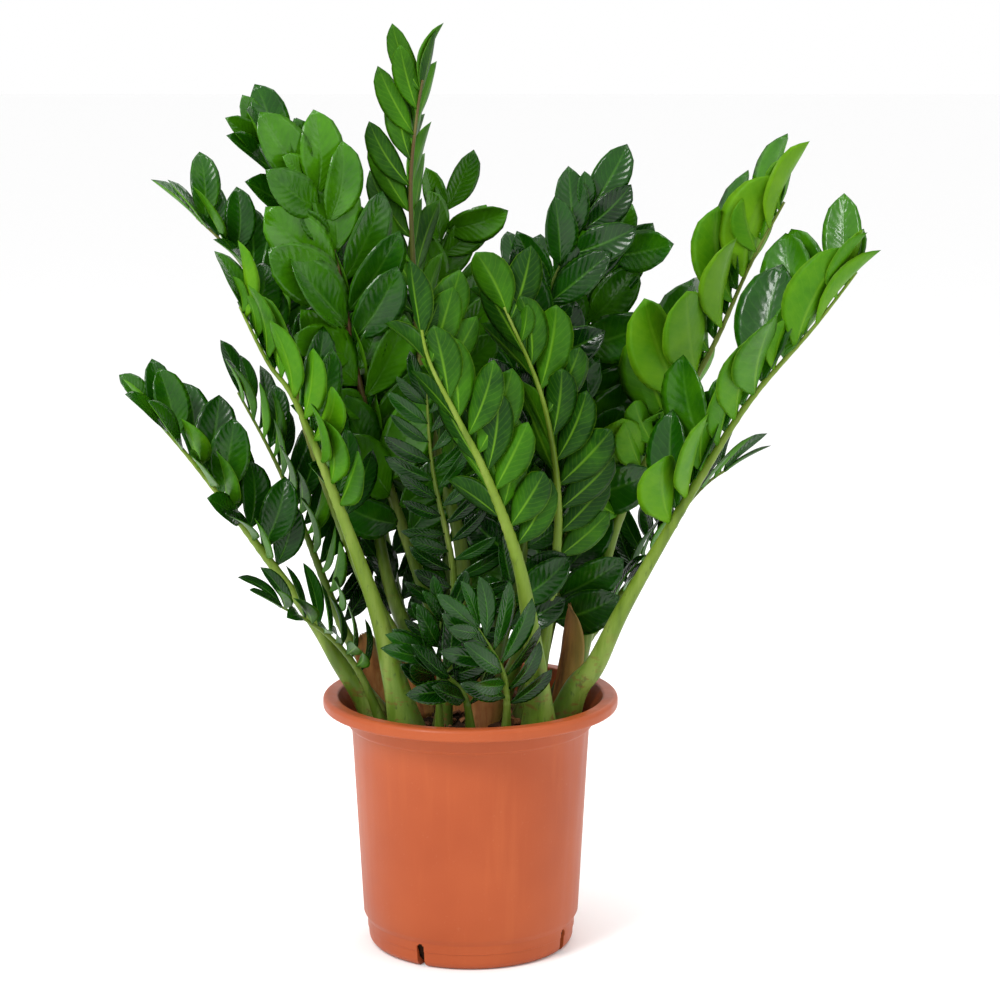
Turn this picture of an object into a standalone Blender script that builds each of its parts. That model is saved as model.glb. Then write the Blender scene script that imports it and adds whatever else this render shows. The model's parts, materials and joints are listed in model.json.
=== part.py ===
"""A potted ZZ plant: a nursery pot, its soil, the tubers in the soil, the fronds that grow from them,
and the dry brown sheaths that still wrap some fronds' feet.

Metres, +Z up. The origin is the centre of the pot's underside, and -Y is the plant's front.
Each frond is one grown piece, a compound leaf: a fleshy stem with a rank of leaflets on each side.
"""

import math
from dataclasses import dataclass

import bmesh
import bpy
from mathutils import Matrix, Vector
from mathutils.bvhtree import BVHTree

# Pot: a moulded nursery pot with a rolled rim, a shoulder band and a stepped foot.
POT_HEIGHT = 0.243
RIM_RADIUS = 0.140
RIM_LIP = 0.012
MOUTH_RADIUS = 0.125
SHOULDER_RADIUS = 0.1166
SHOULDER_BAND = 0.016
WAIST_RADIUS = 0.1135
TAPER_RADIUS = 0.103
TAPER_END = 0.030
FOOT_BAND_RADIUS = 0.0995
FOOT_BAND_TOP = 0.025
FOOT_RADIUS = 0.092
FOOT_CORNER = 0.008
WALL = 0.0019
FLOOR = 0.003
POT_SIDES = 36
DRAIN_SLOTS = 4
DRAIN_SLOT_WIDTH = 0.0075
DRAIN_SLOT_TOP = 0.023
DRAIN_SLOT_REACH = 0.022
FIRST_DRAIN_SLOT_DEG = -118.0

# Soil, and the gap that neighbouring solids keep.
GAP = 0.0004
SOIL_TOP = 0.220
SOIL_CROWN = 0.003
SOIL_SIDES = 24

# Fronds.
STEM_SIDES = 5
PETIOLE_RINGS = 4
TIP_RADIUS = 0.0011
FOOT_SWELL = 0.45
SWELL_LENGTH = 0.09
STEM_TAPER = 1.5
FACE_LIFT = 0.55
TUBER_TOP = SOIL_TOP - 0.020
SEAT = TUBER_TOP + GAP
UPRIGHT_FOOT = 0.007
SOCKET_DEPTH = 0.005
SOCKET_GAP = 0.0006
LAST_LEAFLET = 0.94
STEM_END = 0.965
SHINGLE_DEG = 14.0
LEAFLET_THICKNESS = 0.0012
SHORTEST_LEAFLET = 0.87
LEAFLET_BULGE = 0.34
WIDEST = 0.45
CLEARANCE = 0.0008
CROWD_STEPS = 24

# A leaflet that would touch a neighbour turns aside, then shortens, in this order.
SWAYS_DEG = (
    (0, 0), (12, 0), (-12, 0), (0, 15), (0, -15), (24, 12), (-24, -12), (24, -12), (-24, 12),
    (0, 34), (0, -34)
)
SHRINKS = (1.0, 0.8, 0.6)

# The corners of the stem's side that each rank of leaflets grows from: below the leaflet, then above it.
RANK_CORNERS = {1: (0, 1), -1: (3, 2)}

# Sheaths.
SHEATH_THICKNESS = 0.0009
SHEATH_CLEARANCE = 0.0019
SHEATH_RINGS = 5
SHEATH_ARC_STEPS = 5
SHEATH_FOOT = 0.006
SHEATH_FLARE = 0.003


@dataclass
class Tuber:
    """A potato-like tuber lying in the soil, an ellipsoid."""

    name: str
    centre: tuple
    half: tuple


@dataclass
class Frond:
    """A compound leaf, in metres.

    foot is where it leaves the soil and route the points that its stem passes above it. facing_deg is
    the bearing, seen from above with 0 at +X, that the upper side of the leaflets turns to. bare is the
    share of the stem below the first leaflet, leaflet a usual leaflet's length and slim its width over
    its length. fold_deg is how far each rank folds up towards the other, and spread_deg is the angle
    between the stem and its first, then its last, leaflets.
    """

    name: str
    foot: tuple
    radius: float
    facing_deg: float
    route: tuple
    bare: float
    pairs: int
    leaflet: float
    slim: float
    fold_deg: float
    spread_deg: tuple


@dataclass
class Sheath:
    """A dry scale leaf round one side of a frond's foot. facing_deg is the bearing of its middle."""

    name: str
    frond: str
    height: float
    facing_deg: float
    wrap_deg: float


TUBERS = (
    Tuber("tuber_left", (-0.055, 0.005), (0.034, 0.040, 0.026)),
    Tuber("tuber_right", (0.060, -0.002), (0.032, 0.042, 0.026)),
    Tuber("tuber_back", (0.000, 0.064), (0.038, 0.026, 0.025)),
    Tuber("tuber_front", (0.000, -0.054), (0.031, 0.026, 0.024)),
)

# The routes' points were placed by eye, to 5 mm or so.
FRONDS = (
    # Left side.
    Frond(
        "frond_left_low", (-0.091, 0.004), 0.015, -10,
        ((-0.107, 0.004, 0.246), (-0.124, 0.004, 0.27), (-0.157, 0, 0.325), (-0.254, -0.01, 0.461),
         (-0.318, -0.01, 0.536)),
        0.45, 9, 0.06, 0.46, 62, (64, 42)
    ),
    Frond(
        "frond_left_thin", (-0.082, -0.036), 0.0075, 0,
        ((-0.105, -0.04, 0.275), (-0.137, -0.055, 0.316), (-0.182, -0.078, 0.349)),
        0.36, 5, 0.05, 0.28, 35, (74, 48)
    ),
    Frond(
        "frond_left_rear", (-0.082, 0.044), 0.011, 0,
        ((-0.104, 0.05, 0.262), (-0.127, 0.06, 0.3), (-0.184, 0.1, 0.434), (-0.236, 0.112, 0.532)),
        0.36, 9, 0.058, 0.36, 55, (70, 44)
    ),
    Frond(
        "frond_left_bright", (-0.058, -0.058), 0.019, 5,
        ((-0.072, -0.06, 0.28), (-0.092, -0.065, 0.357), (-0.153, -0.07, 0.522), (-0.184, -0.06, 0.569),
         (-0.22, -0.04, 0.638)),
        0.5, 9, 0.068, 0.46, 55, (62, 40)
    ),
    Frond(
        "frond_left_high", (-0.05, 0.002), 0.014, 0,
        ((-0.068, 0.012, 0.282), (-0.104, 0.03, 0.351), (-0.15, 0.055, 0.466), (-0.187, 0.08, 0.579),
         (-0.222, 0.088, 0.646), (-0.284, 0.095, 0.706)),
        0.34, 13, 0.066, 0.42, 58, (74, 42)
    ),
    Frond(
        "frond_tall_left", (-0.044, 0.04), 0.013, 0,
        ((-0.056, 0.048, 0.272), (-0.084, 0.062, 0.357), (-0.105, 0.062, 0.515), (-0.139, 0.05, 0.656),
         (-0.169, 0.04, 0.713), (-0.214, 0.02, 0.795)),
        0.34, 13, 0.07, 0.46, 48, (70, 40)
    ),
    Frond(
        "frond_tall_left_front", (-0.008, 0.056), 0.014, -20,
        ((-0.018, 0.05, 0.272), (-0.05, 0.036, 0.35), (-0.1, 0.012, 0.522), (-0.122, -0.002, 0.651),
         (-0.14, -0.012, 0.713), (-0.163, -0.03, 0.77)),
        0.34, 12, 0.074, 0.5, 34, (66, 40)
    ),
    # Middle.
    Frond(
        "frond_tallest", (-0.006, 0.012), 0.015, 125,
        ((-0.007, 0.018, 0.3), (-0.009, 0.02, 0.38), (-0.042, 0.02, 0.521), (-0.055, 0.03, 0.694),
         (-0.05, 0.038, 0.779), (-0.037, 0.045, 0.852)),
        0.36, 14, 0.068, 0.42, 36, (58, 34)
    ),
    Frond(
        "frond_behind_tallest", (-0.02, 0.09), 0.012, -60,
        ((-0.021, 0.1, 0.31), (-0.031, 0.125, 0.456), (-0.03, 0.13, 0.642), (-0.018, 0.12, 0.725)),
        0.3, 11, 0.068, 0.48, 30, (66, 42)
    ),
    Frond(
        "frond_ladder", (-0.026, -0.034), 0.01, -80,
        ((-0.018, -0.036, 0.3), (-0.016, -0.04, 0.372), (-0.034, -0.05, 0.468), (-0.04, -0.056, 0.556)),
        0.3, 10, 0.048, 0.28, 20, (80, 52)
    ),
    Frond(
        "frond_front_bright", (0.064, -0.06), 0.019, 60,
        ((0.06, -0.07, 0.29), (0.045, -0.085, 0.385), (0.017, -0.1, 0.467), (-0.011, -0.11, 0.526),
         (-0.036, -0.12, 0.58), (-0.044, -0.122, 0.628)),
        0.4, 10, 0.064, 0.5, 40, (62, 40)
    ),
    Frond(
        "frond_front_upright", (0.05, -0.014), 0.013, 60,
        ((0.068, -0.022, 0.29), (0.082, -0.04, 0.417), (0.069, -0.06, 0.526), (0.035, -0.072, 0.612),
         (0.02, -0.076, 0.64)),
        0.36, 10, 0.064, 0.52, 40, (62, 42)
    ),
    Frond(
        "frond_middle_right", (0.01, -0.042), 0.013, -70,
        ((0.028, -0.032, 0.3), (0.05, -0.018, 0.39), (0.056, -0.006, 0.506), (0.073, 0, 0.621),
         (0.1, 0, 0.677), (0.122, 0, 0.736)),
        0.3, 12, 0.066, 0.52, 36, (64, 42)
    ),
    # Right side.
    Frond(
        "frond_right_inner", (0.05, 0.022), 0.012, -80,
        ((0.072, 0.028, 0.29), (0.095, 0.038, 0.402), (0.099, 0.048, 0.534), (0.122, 0.05, 0.632),
         (0.152, 0.044, 0.68)),
        0.32, 11, 0.07, 0.54, 34, (64, 42)
    ),
    Frond(
        "frond_right_middle", (0.028, 0.05), 0.011, 180,
        ((0.044, 0.052, 0.262), (0.072, 0.048, 0.32), (0.133, 0.06, 0.427), (0.178, 0.05, 0.485),
         (0.222, 0.04, 0.534)),
        0.4, 9, 0.066, 0.46, 58, (66, 44)
    ),
    Frond(
        "frond_right_tall", (0.09, 0.012), 0.014, 172,
        ((0.1, 0.016, 0.262), (0.116, 0.02, 0.32), (0.14, 0.02, 0.406), (0.17, 0.012, 0.47),
         (0.225, 0.01, 0.569), (0.261, 0.012, 0.65), (0.306, 0.015, 0.734)),
        0.36, 13, 0.082, 0.46, 62, (66, 44)
    ),
    Frond(
        "frond_right_outer", (0.086, -0.028), 0.0165, 188,
        ((0.1, -0.032, 0.256), (0.118, -0.036, 0.28), (0.146, -0.042, 0.34), (0.215, -0.06, 0.467),
         (0.257, -0.068, 0.536), (0.314, -0.07, 0.604), (0.367, -0.066, 0.674)),
        0.4, 11, 0.082, 0.44, 60, (64, 42)
    ),
    Frond(
        "frond_right_low", (0.082, 0.048), 0.011, 180,
        ((0.1, 0.06, 0.262), (0.145, 0.084, 0.318), (0.219, 0.112, 0.413), (0.266, 0.124, 0.446)),
        0.36, 9, 0.056, 0.28, 40, (70, 46)
    ),
    # Short shoots in front.
    Frond(
        "shoot_front_left", (-0.028, -0.083), 0.0065, 90,
        ((-0.028, -0.086, 0.267), (-0.027, -0.091, 0.306), (-0.025, -0.096, 0.346)),
        0.4, 4, 0.042, 0.36, 40, (60, 40)
    ),
    Frond(
        "shoot_front_middle", (0.002, -0.088), 0.0075, 90,
        ((-0.004, -0.092, 0.262), (-0.022, -0.103, 0.287), (-0.043, -0.113, 0.312)),
        0.32, 4, 0.048, 0.38, 36, (62, 40)
    ),
    Frond(
        "shoot_front_right", (0.033, -0.085), 0.007, 80,
        ((0.034, -0.092, 0.264), (0.028, -0.106, 0.296), (0.004, -0.12, 0.34)),
        0.28, 5, 0.048, 0.36, 36, (62, 40)
    ),
    # Back, which fills the plant out behind.
    Frond(
        "frond_back_left", (-0.055, 0.074), 0.012, -60,
        ((-0.066, 0.09, 0.28), (-0.092, 0.14, 0.4), (-0.118, 0.205, 0.52), (-0.135, 0.25, 0.59)),
        0.34, 10, 0.066, 0.46, 46, (64, 42)
    ),
    Frond(
        "frond_back", (0.018, 0.09), 0.012, -95,
        ((0.024, 0.108, 0.29), (0.036, 0.15, 0.42), (0.046, 0.195, 0.54), (0.052, 0.245, 0.64)),
        0.34, 11, 0.066, 0.46, 46, (64, 42)
    ),
    Frond(
        "frond_back_right", (0.055, 0.073), 0.012, -130,
        ((0.068, 0.09, 0.28), (0.108, 0.14, 0.39), (0.15, 0.175, 0.49), (0.19, 0.205, 0.56)),
        0.34, 10, 0.066, 0.46, 46, (64, 42)
    ),
)

SHEATHS = (
    Sheath("sheath_right", "frond_right_tall", 0.105, 200, 190),
    Sheath("sheath_left", "frond_left_rear", 0.070, -40, 170),
    Sheath("sheath_left_inner", "frond_left_high", 0.058, -70, 160),
    Sheath("sheath_middle", "frond_tallest", 0.044, -100, 170),
    Sheath("sheath_front", "frond_middle_right", 0.036, -80, 160),
    Sheath("sheath_back", "frond_back", 0.060, 90, 180),
)


def clear_scene():
    for obj in list(bpy.data.objects):
        bpy.data.objects.remove(obj, do_unlink=True)


def make_material(name, colour, roughness):
    material = bpy.data.materials.new(name)
    material.use_nodes = True
    shader = material.node_tree.nodes["Principled BSDF"]
    shader.inputs["Base Color"].default_value = (*colour, 1.0)
    shader.inputs["Roughness"].default_value = roughness
    shader.inputs["Metallic"].default_value = 0.0
    material.diffuse_color = (*colour, 1.0)
    return material


def make_object(name, bm, material=None):
    """Turns a bmesh into a named object with its faces pointing out."""
    bmesh.ops.recalc_face_normals(bm, faces=bm.faces)
    if bm.calc_volume(signed=True) < 0:
        bmesh.ops.reverse_faces(bm, faces=bm.faces)
    mesh = bpy.data.meshes.new(name)
    bm.to_mesh(mesh)
    bm.free()
    if material:
        mesh.materials.append(material)
    mesh.shade_smooth()
    mesh.set_sharp_from_angle(angle=math.radians(35))
    obj = bpy.data.objects.new(name, mesh)
    bpy.context.scene.collection.objects.link(obj)
    return obj


def make_helper(name, bm):
    """A cutter: it shapes another object and is no piece itself."""
    obj = make_object(name, bm)
    obj.hide_render = True
    obj.display_type = "WIRE"
    return obj


def cut(obj, cutter):
    modifier = obj.modifiers.new("cut_" + cutter.name, "BOOLEAN")
    modifier.operation = "DIFFERENCE"
    modifier.solver = "EXACT"
    modifier.object = cutter


def skin_rings(bm, rings):
    """Joins rings of vertices with quads and closes both ends. A ring of one vertex is a point."""
    for low, high in zip(rings, rings[1:]):
        count = max(len(low), len(high))
        for i in range(count):
            j = (i + 1) % count
            corners = [low[i % len(low)], low[j % len(low)], high[j % len(high)], high[i % len(high)]]
            bm.faces.new(list(dict.fromkeys(corners)))
    for end in (rings[0], rings[-1]):
        if len(end) > 2:
            bm.faces.new(end)


def turned(bm, profile, sides):
    """Turns a profile of (radius, height) round Z. Radius 0 is a point on the axis."""
    rings = []
    for radius, height in profile:
        count = 1 if radius == 0 else sides
        angles = [2 * math.pi * i / sides for i in range(count)]
        rings.append([bm.verts.new((radius * math.cos(a), radius * math.sin(a), height)) for a in angles])
    skin_rings(bm, rings)


# Pot.

def build_pot(material):
    lip_bottom = POT_HEIGHT - RIM_LIP
    band_bottom = lip_bottom - SHOULDER_BAND
    inner_foot = FOOT_RADIUS + FOOT_CORNER * 0.4 - WALL
    profile = [
        (0, 0),
        (FOOT_RADIUS, 0),
        (FOOT_RADIUS + FOOT_CORNER * 0.45, FOOT_CORNER * 0.2),
        (FOOT_RADIUS + FOOT_CORNER * 0.7, FOOT_CORNER),
        (FOOT_BAND_RADIUS, FOOT_BAND_TOP),
        (TAPER_RADIUS, TAPER_END),
        (WAIST_RADIUS, band_bottom - 0.002),
        (SHOULDER_RADIUS, band_bottom + 0.001),
        (SHOULDER_RADIUS + 0.0005, lip_bottom),
        (RIM_RADIUS - 0.0015, lip_bottom),
        (RIM_RADIUS, lip_bottom + 0.002),
        (RIM_RADIUS, POT_HEIGHT - 0.003),
        (RIM_RADIUS - 0.003, POT_HEIGHT),
        (MOUTH_RADIUS + 0.002, POT_HEIGHT),
        (MOUTH_RADIUS, POT_HEIGHT - 0.002),
        (SHOULDER_RADIUS + 0.0005 - WALL, lip_bottom - 0.004),
        (WAIST_RADIUS - WALL, band_bottom - 0.004),
        (TAPER_RADIUS - WALL, TAPER_END + 0.001),
        (inner_foot, FLOOR + 0.006),
        (inner_foot - 0.006, FLOOR),
        (0, FLOOR),
    ]
    bm = bmesh.new()
    turned(bm, profile, POT_SIDES)
    pot = make_object("nursery_pot", bm, material)
    for i in range(DRAIN_SLOTS):
        cut(pot, build_drain_slot(i))


def build_drain_slot(index):
    """A box through the pot's lower corner."""
    angle = math.radians(FIRST_DRAIN_SLOT_DEG + 360 / DRAIN_SLOTS * index)
    height = DRAIN_SLOT_TOP + 0.004
    centre = Vector((FOOT_RADIUS, 0, DRAIN_SLOT_TOP - height / 2))
    size = Matrix.Diagonal((DRAIN_SLOT_REACH, DRAIN_SLOT_WIDTH, height, 1))
    turn = Matrix.Rotation(angle, 4, "Z")
    bm = bmesh.new()
    bmesh.ops.create_cube(bm, size=1, matrix=turn @ Matrix.Translation(centre) @ size)
    return make_helper(f"drain_slot_{index + 1}", bm)


# Tubers.

def build_ellipsoid(bm, tuber, extra):
    centre = Vector((*tuber.centre, TUBER_TOP - tuber.half[2]))
    half = [size + extra for size in tuber.half]
    shape = Matrix.Translation(centre) @ Matrix.Diagonal((*half, 1))
    bmesh.ops.create_uvsphere(bm, u_segments=10, v_segments=6, radius=1, matrix=shape)


def build_tubers(material):
    for tuber in TUBERS:
        bm = bmesh.new()
        build_ellipsoid(bm, tuber, 0)
        make_object(tuber.name, bm, material)


# Fronds.

def curve_through(points, steps):
    """A smooth curve through points (Catmull-Rom), as points spaced evenly along its length."""
    ends = [2 * points[0] - points[1], *points, 2 * points[-1] - points[-2]]
    dense = []
    for p0, p1, p2, p3 in zip(ends, ends[1:], ends[2:], ends[3:]):
        for i in range(16):
            t = i / 16
            bend = (2 * p0 - 5 * p1 + 4 * p2 - p3) * t**2
            twist = (3 * p1 - p0 - 3 * p2 + p3) * t**3
            dense.append((2 * p1 + (p2 - p0) * t + bend + twist) / 2)
    dense.append(points[-1].copy())
    lengths = [0.0]
    for a, b in zip(dense, dense[1:]):
        lengths.append(lengths[-1] + (b - a).length)
    even, at = [], 0
    for i in range(steps + 1):
        target = lengths[-1] * i / steps
        while at < len(dense) - 2 and lengths[at + 1] < target:
            at += 1
        share = (target - lengths[at]) / (lengths[at + 1] - lengths[at])
        even.append(dense[at].lerp(dense[at + 1], share))
    return even


class Stem:
    """A frond's stem: a tapering tube, read at a share t of its length from foot to tip."""

    STEPS = 60

    def __init__(self, frond):
        self.frond = frond
        foot = Vector((*frond.foot, SOIL_TOP))
        self.points = curve_through([foot] + [Vector(p) for p in frond.route], self.STEPS)
        bearing = math.radians(frond.facing_deg)
        self.up = Vector((math.cos(bearing), math.sin(bearing), FACE_LIFT)).normalized()

    def length(self):
        return sum((b - a).length for a, b in zip(self.points, self.points[1:]))

    def point(self, t):
        place = min(max(t, 0), 1) * self.STEPS
        i = min(int(place), self.STEPS - 1)
        return self.points[i].lerp(self.points[i + 1], place - i)

    def radius(self, t):
        swell = FOOT_SWELL * math.exp(-t / SWELL_LENGTH)
        taper = (1 - FOOT_SWELL) * (1 - t) ** STEM_TAPER
        return TIP_RADIUS + (self.frond.radius - TIP_RADIUS) * (taper + swell)

    def frame(self, t):
        """The stem's direction, the way its upper side faces, and its right-hand side, at t."""
        along = (self.point(t + 0.03) - self.point(t - 0.03)).normalized()
        face = (self.up - along * self.up.dot(along)).normalized()
        return along, face, along.cross(face)

    def ring(self, t, extra=0.0):
        """Five corners round the stem. The sides that RANK_CORNERS names face the two ranks of leaflets."""
        along, face, side = self.frame(t)
        centre = self.point(t)
        radius = self.radius(t) + extra
        corners = []
        for i in range(STEM_SIDES):
            angle = 2 * math.pi * (i - 0.25) / STEM_SIDES
            corners.append(centre + radius * (math.cos(angle) * side + math.sin(angle) * face))
        return corners

    def foot_rings(self, bottom, extra=0.0):
        """The buried end: straight down from the soil's surface to bottom."""
        corners = self.ring(0, extra)
        low = [Vector((c.x, c.y, bottom)) for c in corners]
        level = [Vector((c.x, c.y, SEAT + UPRIGHT_FOOT)) for c in corners]
        return [low, level]


def leaflet_places(frond):
    """(start, end, rank) of each leaflet's root, foot to tip, in the two ranks, 1 and -1, by turns."""
    count = 2 * frond.pairs
    step = (LAST_LEAFLET - frond.bare) / count
    places = []
    for i in range(count):
        start = frond.bare + step * i
        places.append((start, start + step, 1 if i % 2 == 0 else -1))
    return places


def leafy_share(frond, t):
    return (t - frond.bare) / (LAST_LEAFLET - frond.bare)


def leaflet_size(frond, t):
    """Leaflets are longest past the middle of the leafy stretch and shorter at its two ends."""
    bulge = math.sin(math.pi * (0.1 + 0.8 * leafy_share(frond, t))) ** 0.8
    return frond.leaflet * (SHORTEST_LEAFLET + LEAFLET_BULGE * bulge)


def leaflet_frame(stem, t, rank, sway_deg=(0, 0)):
    """A leaflet's own axes: out along its midrib, across its blade, and the way its upper face looks."""
    along, face, side = stem.frame(t)
    first, last = stem.frond.spread_deg
    fold = math.radians(stem.frond.fold_deg + sway_deg[1])
    angle = math.radians(first + (last - first) * leafy_share(stem.frond, t) + sway_deg[0])
    away = math.cos(fold) * rank * side + math.sin(fold) * face
    out = math.cos(angle) * along + math.sin(angle) * away
    across = math.sin(angle) * along - math.cos(angle) * away
    across = Matrix.Rotation(math.radians(SHINGLE_DEG) * rank, 3, out) @ across
    return out, across, out.cross(across) * rank


def leaflet_blade(stem, t, rank, shrink, sway_deg, extra=0.0):
    """The corners of a leaflet's widest section, then its tip."""
    out, across, normal = leaflet_frame(stem, t, rank, sway_deg)
    length = leaflet_size(stem.frond, t) * shrink
    half_width = length * stem.frond.slim / 2 + extra
    half_thick = LEAFLET_THICKNESS / 2 + extra
    root = stem.point(t)
    centre = root + out * length * WIDEST
    tip = root + out * (length + extra)
    widest = [
        centre - across * half_width - normal * half_thick,
        centre - across * half_width + normal * half_thick,
        centre + across * half_width + normal * half_thick,
        centre + across * half_width - normal * half_thick,
    ]
    return widest, tip


class Crowd:
    """The solids placed so far, which a new leaflet must miss."""

    def __init__(self):
        self.members = []

    @staticmethod
    def box(points):
        low = [min(p[i] for p in points) for i in range(3)]
        high = [max(p[i] for p in points) for i in range(3)]
        return low, high

    def add(self, points, faces):
        self.members.append((self.box(points), BVHTree.FromPolygons(points, faces)))

    def touches(self, points, faces):
        low, high = self.box(points)
        tree = None
        for (other_low, other_high), other in self.members:
            if any(low[i] > other_high[i] or high[i] < other_low[i] for i in range(3)):
                continue
            tree = tree or BVHTree.FromPolygons(points, faces)
            if tree.overlap(other):
                return True
        return False


# The faces of a leaflet, root to tip, and of a stretch of stem, as indices into their corners.
BLADE_FACES = (
    (0, 1, 5, 4), (1, 2, 6, 5), (2, 3, 7, 6), (3, 0, 4, 7),
    (4, 5, 8), (5, 6, 8), (6, 7, 8), (7, 4, 8), (3, 2, 1, 0)
)
TUBE_FACES = tuple(
    (i, (i + 1) % STEM_SIDES, STEM_SIDES + (i + 1) % STEM_SIDES, STEM_SIDES + i) for i in range(STEM_SIDES)
)


def blade_solid(stem, start, end, rank, shrink, sway_deg, extra):
    """A leaflet with its root just outside the stem, for testing against the crowd."""
    widest, tip = leaflet_blade(stem, (start + end) / 2, rank, shrink, sway_deg, extra)
    out = (tip - stem.point((start + end) / 2)).normalized()
    near = root_corners(stem, start, end, rank)
    root = [corner + out * CLEARANCE for corner in near]
    return root + widest + [tip], BLADE_FACES


def root_corners(stem, start, end, rank):
    """The corners of the stem's side that a leaflet grows from, in the order of leaflet_blade's."""
    low, high = stem.ring(start), stem.ring(end)
    outer, inner = RANK_CORNERS[rank]
    return [low[outer], low[inner], high[inner], high[outer]]


def choose_leaflet(stem, place, crowd):
    """The first size and sway at which a leaflet misses its neighbours, or None."""
    start, end, rank = place
    for shrink in SHRINKS:
        for sway in SWAYS_DEG:
            points, faces = blade_solid(stem, start, end, rank, shrink, sway, CLEARANCE)
            if not crowd.touches(points, faces):
                crowd.add(*blade_solid(stem, start, end, rank, shrink, sway, 0.0))
                return shrink, sway
    return None


def stem_shares(frond):
    petiole = [frond.bare * (i / PETIOLE_RINGS) ** 1.3 for i in range(PETIOLE_RINGS)]
    return petiole + [start for start, _, _ in leaflet_places(frond)] + [LAST_LEAFLET, STEM_END]


def build_frond(stem, choices, material):
    frond = stem.frond
    bm = bmesh.new()
    shares = stem_shares(frond)
    rings = stem.foot_rings(SEAT) + [stem.ring(t) for t in shares]
    rings = [[bm.verts.new(corner) for corner in ring] for ring in rings]
    skin_rings(bm, rings)
    first_leafy = 2 + PETIOLE_RINGS
    for i, (place, choice) in enumerate(zip(leaflet_places(frond), choices)):
        if choice:
            grow_leaflet(bm, stem, place, choice, rings[first_leafy + i], rings[first_leafy + i + 1])
    make_object(frond.name, bm, material)


def grow_leaflet(bm, stem, place, choice, low, high):
    """Replaces one side of the stem with a leaflet."""
    start, end, rank = place
    outer, inner = RANK_CORNERS[rank]
    root = [low[outer], low[inner], high[inner], high[outer]]
    bm.faces.remove(bm.faces.get(root))
    widest, tip = leaflet_blade(stem, (start + end) / 2, rank, choice[0], choice[1])
    widest = [bm.verts.new(corner) for corner in widest]
    tip = bm.verts.new(tip)
    for i in range(4):
        j = (i + 1) % 4
        bm.faces.new((root[i], root[j], widest[j], widest[i]))
        bm.faces.new((widest[i], widest[j], tip))


def place_stems(stems, crowd):
    for stem in stems:
        shares = [STEM_END * i / CROWD_STEPS for i in range(CROWD_STEPS + 1)]
        rings = [stem.ring(t) for t in shares]
        for low, high in zip(rings, rings[1:]):
            crowd.add(low + high, TUBE_FACES)


def place_pot(crowd):
    """The pot's rim and wall, as a ring of boards."""
    for i in range(POT_SIDES):
        corners = []
        for radius in (MOUTH_RADIUS - 0.0125, RIM_RADIUS):
            for height in (SOIL_TOP - 0.03, POT_HEIGHT):
                for step in (0, 1):
                    angle = 2 * math.pi * (i + step) / POT_SIDES
                    corners.append(Vector((radius * math.cos(angle), radius * math.sin(angle), height)))
        faces = ((0, 1, 3, 2), (4, 5, 7, 6), (2, 3, 7, 6), (0, 1, 5, 4))
        crowd.add(corners, faces)


# Soil.

def build_soil(stems, material):
    wall = [
        (0, FLOOR + GAP),
        (FOOT_RADIUS + FOOT_CORNER * 0.4 - WALL - 0.0075, FLOOR + GAP),
        (FOOT_RADIUS + FOOT_CORNER * 0.4 - WALL - 0.0015, FLOOR + 0.0065),
        (TAPER_RADIUS - WALL - 0.0015, TAPER_END + 0.001),
        (WAIST_RADIUS - WALL - 0.0012, SOIL_TOP - 0.012),
        (WAIST_RADIUS - WALL - 0.0012, SOIL_TOP - 0.007),
        (WAIST_RADIUS - 0.010, SOIL_TOP - 0.001),
        (WAIST_RADIUS * 0.5, SOIL_TOP + SOIL_CROWN * 0.6),
        (0, SOIL_TOP + SOIL_CROWN),
    ]
    bm = bmesh.new()
    turned(bm, wall, SOIL_SIDES)
    soil = make_object("potting_soil", bm, material)
    hollows = bmesh.new()
    for tuber in TUBERS:
        build_ellipsoid(hollows, tuber, GAP)
    cut(soil, make_helper("tuber_hollows", hollows))
    sockets = bmesh.new()
    for stem in stems:
        rings = stem.foot_rings(SEAT - SOCKET_DEPTH, SOCKET_GAP)
        rings += [stem.ring(t, SOCKET_GAP) for t in stem_shares(stem.frond)[:2]]
        skin_rings(sockets, [[sockets.verts.new(corner) for corner in ring] for ring in rings])
    cut(soil, make_helper("stem_sockets", sockets))


# Sheaths.

def build_sheath(sheath, stem, material):
    """A curved scale that stands on the soil, hugs the stem and narrows to a point."""
    bearing = math.radians(sheath.facing_deg)
    middle = Vector((math.cos(bearing), math.sin(bearing), 0))
    length = stem.length()
    bm = bmesh.new()
    rows = []
    for i in range(SHEATH_RINGS + 1):
        share = i / SHEATH_RINGS
        t = (SHEATH_FOOT + (sheath.height - SHEATH_FOOT) * share) / length
        along, _, _ = stem.frame(t)
        out = (middle - along * middle.dot(along)).normalized()
        side = along.cross(out)
        half_arc = math.radians(sheath.wrap_deg) / 2 * math.sqrt(max(1 - share**2, 0.02))
        inner, outer = [], []
        for j in range(SHEATH_ARC_STEPS + 1):
            angle = half_arc * (2 * j / SHEATH_ARC_STEPS - 1)
            spoke = math.cos(angle) * out + math.sin(angle) * side
            near = stem.radius(t) + SHEATH_CLEARANCE + SHEATH_FLARE * share
            inner.append(bm.verts.new(stem.point(t) + spoke * near))
            outer.append(bm.verts.new(stem.point(t) + spoke * (near + SHEATH_THICKNESS)))
        rows.append(inner + outer[::-1])
    for vert in rows[0]:
        along, _, _ = stem.frame(SHEATH_FOOT / length)
        vert.co += along * (SOIL_TOP + SOIL_CROWN + GAP - vert.co.z) / along.z
    skin_rings(bm, rows)
    make_object(sheath.name, bm, material)


def place_sheath(sheath, stem, crowd):
    """Keeps leaflets off the sheath: a tube a little wider than it."""
    length = stem.length()
    shares = [sheath.height / length * i / 4 for i in range(5)]
    rings = [stem.ring(t, SHEATH_CLEARANCE * 2 + 0.005) for t in shares]
    for low, high in zip(rings, rings[1:]):
        crowd.add(low + high, TUBE_FACES)


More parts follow.
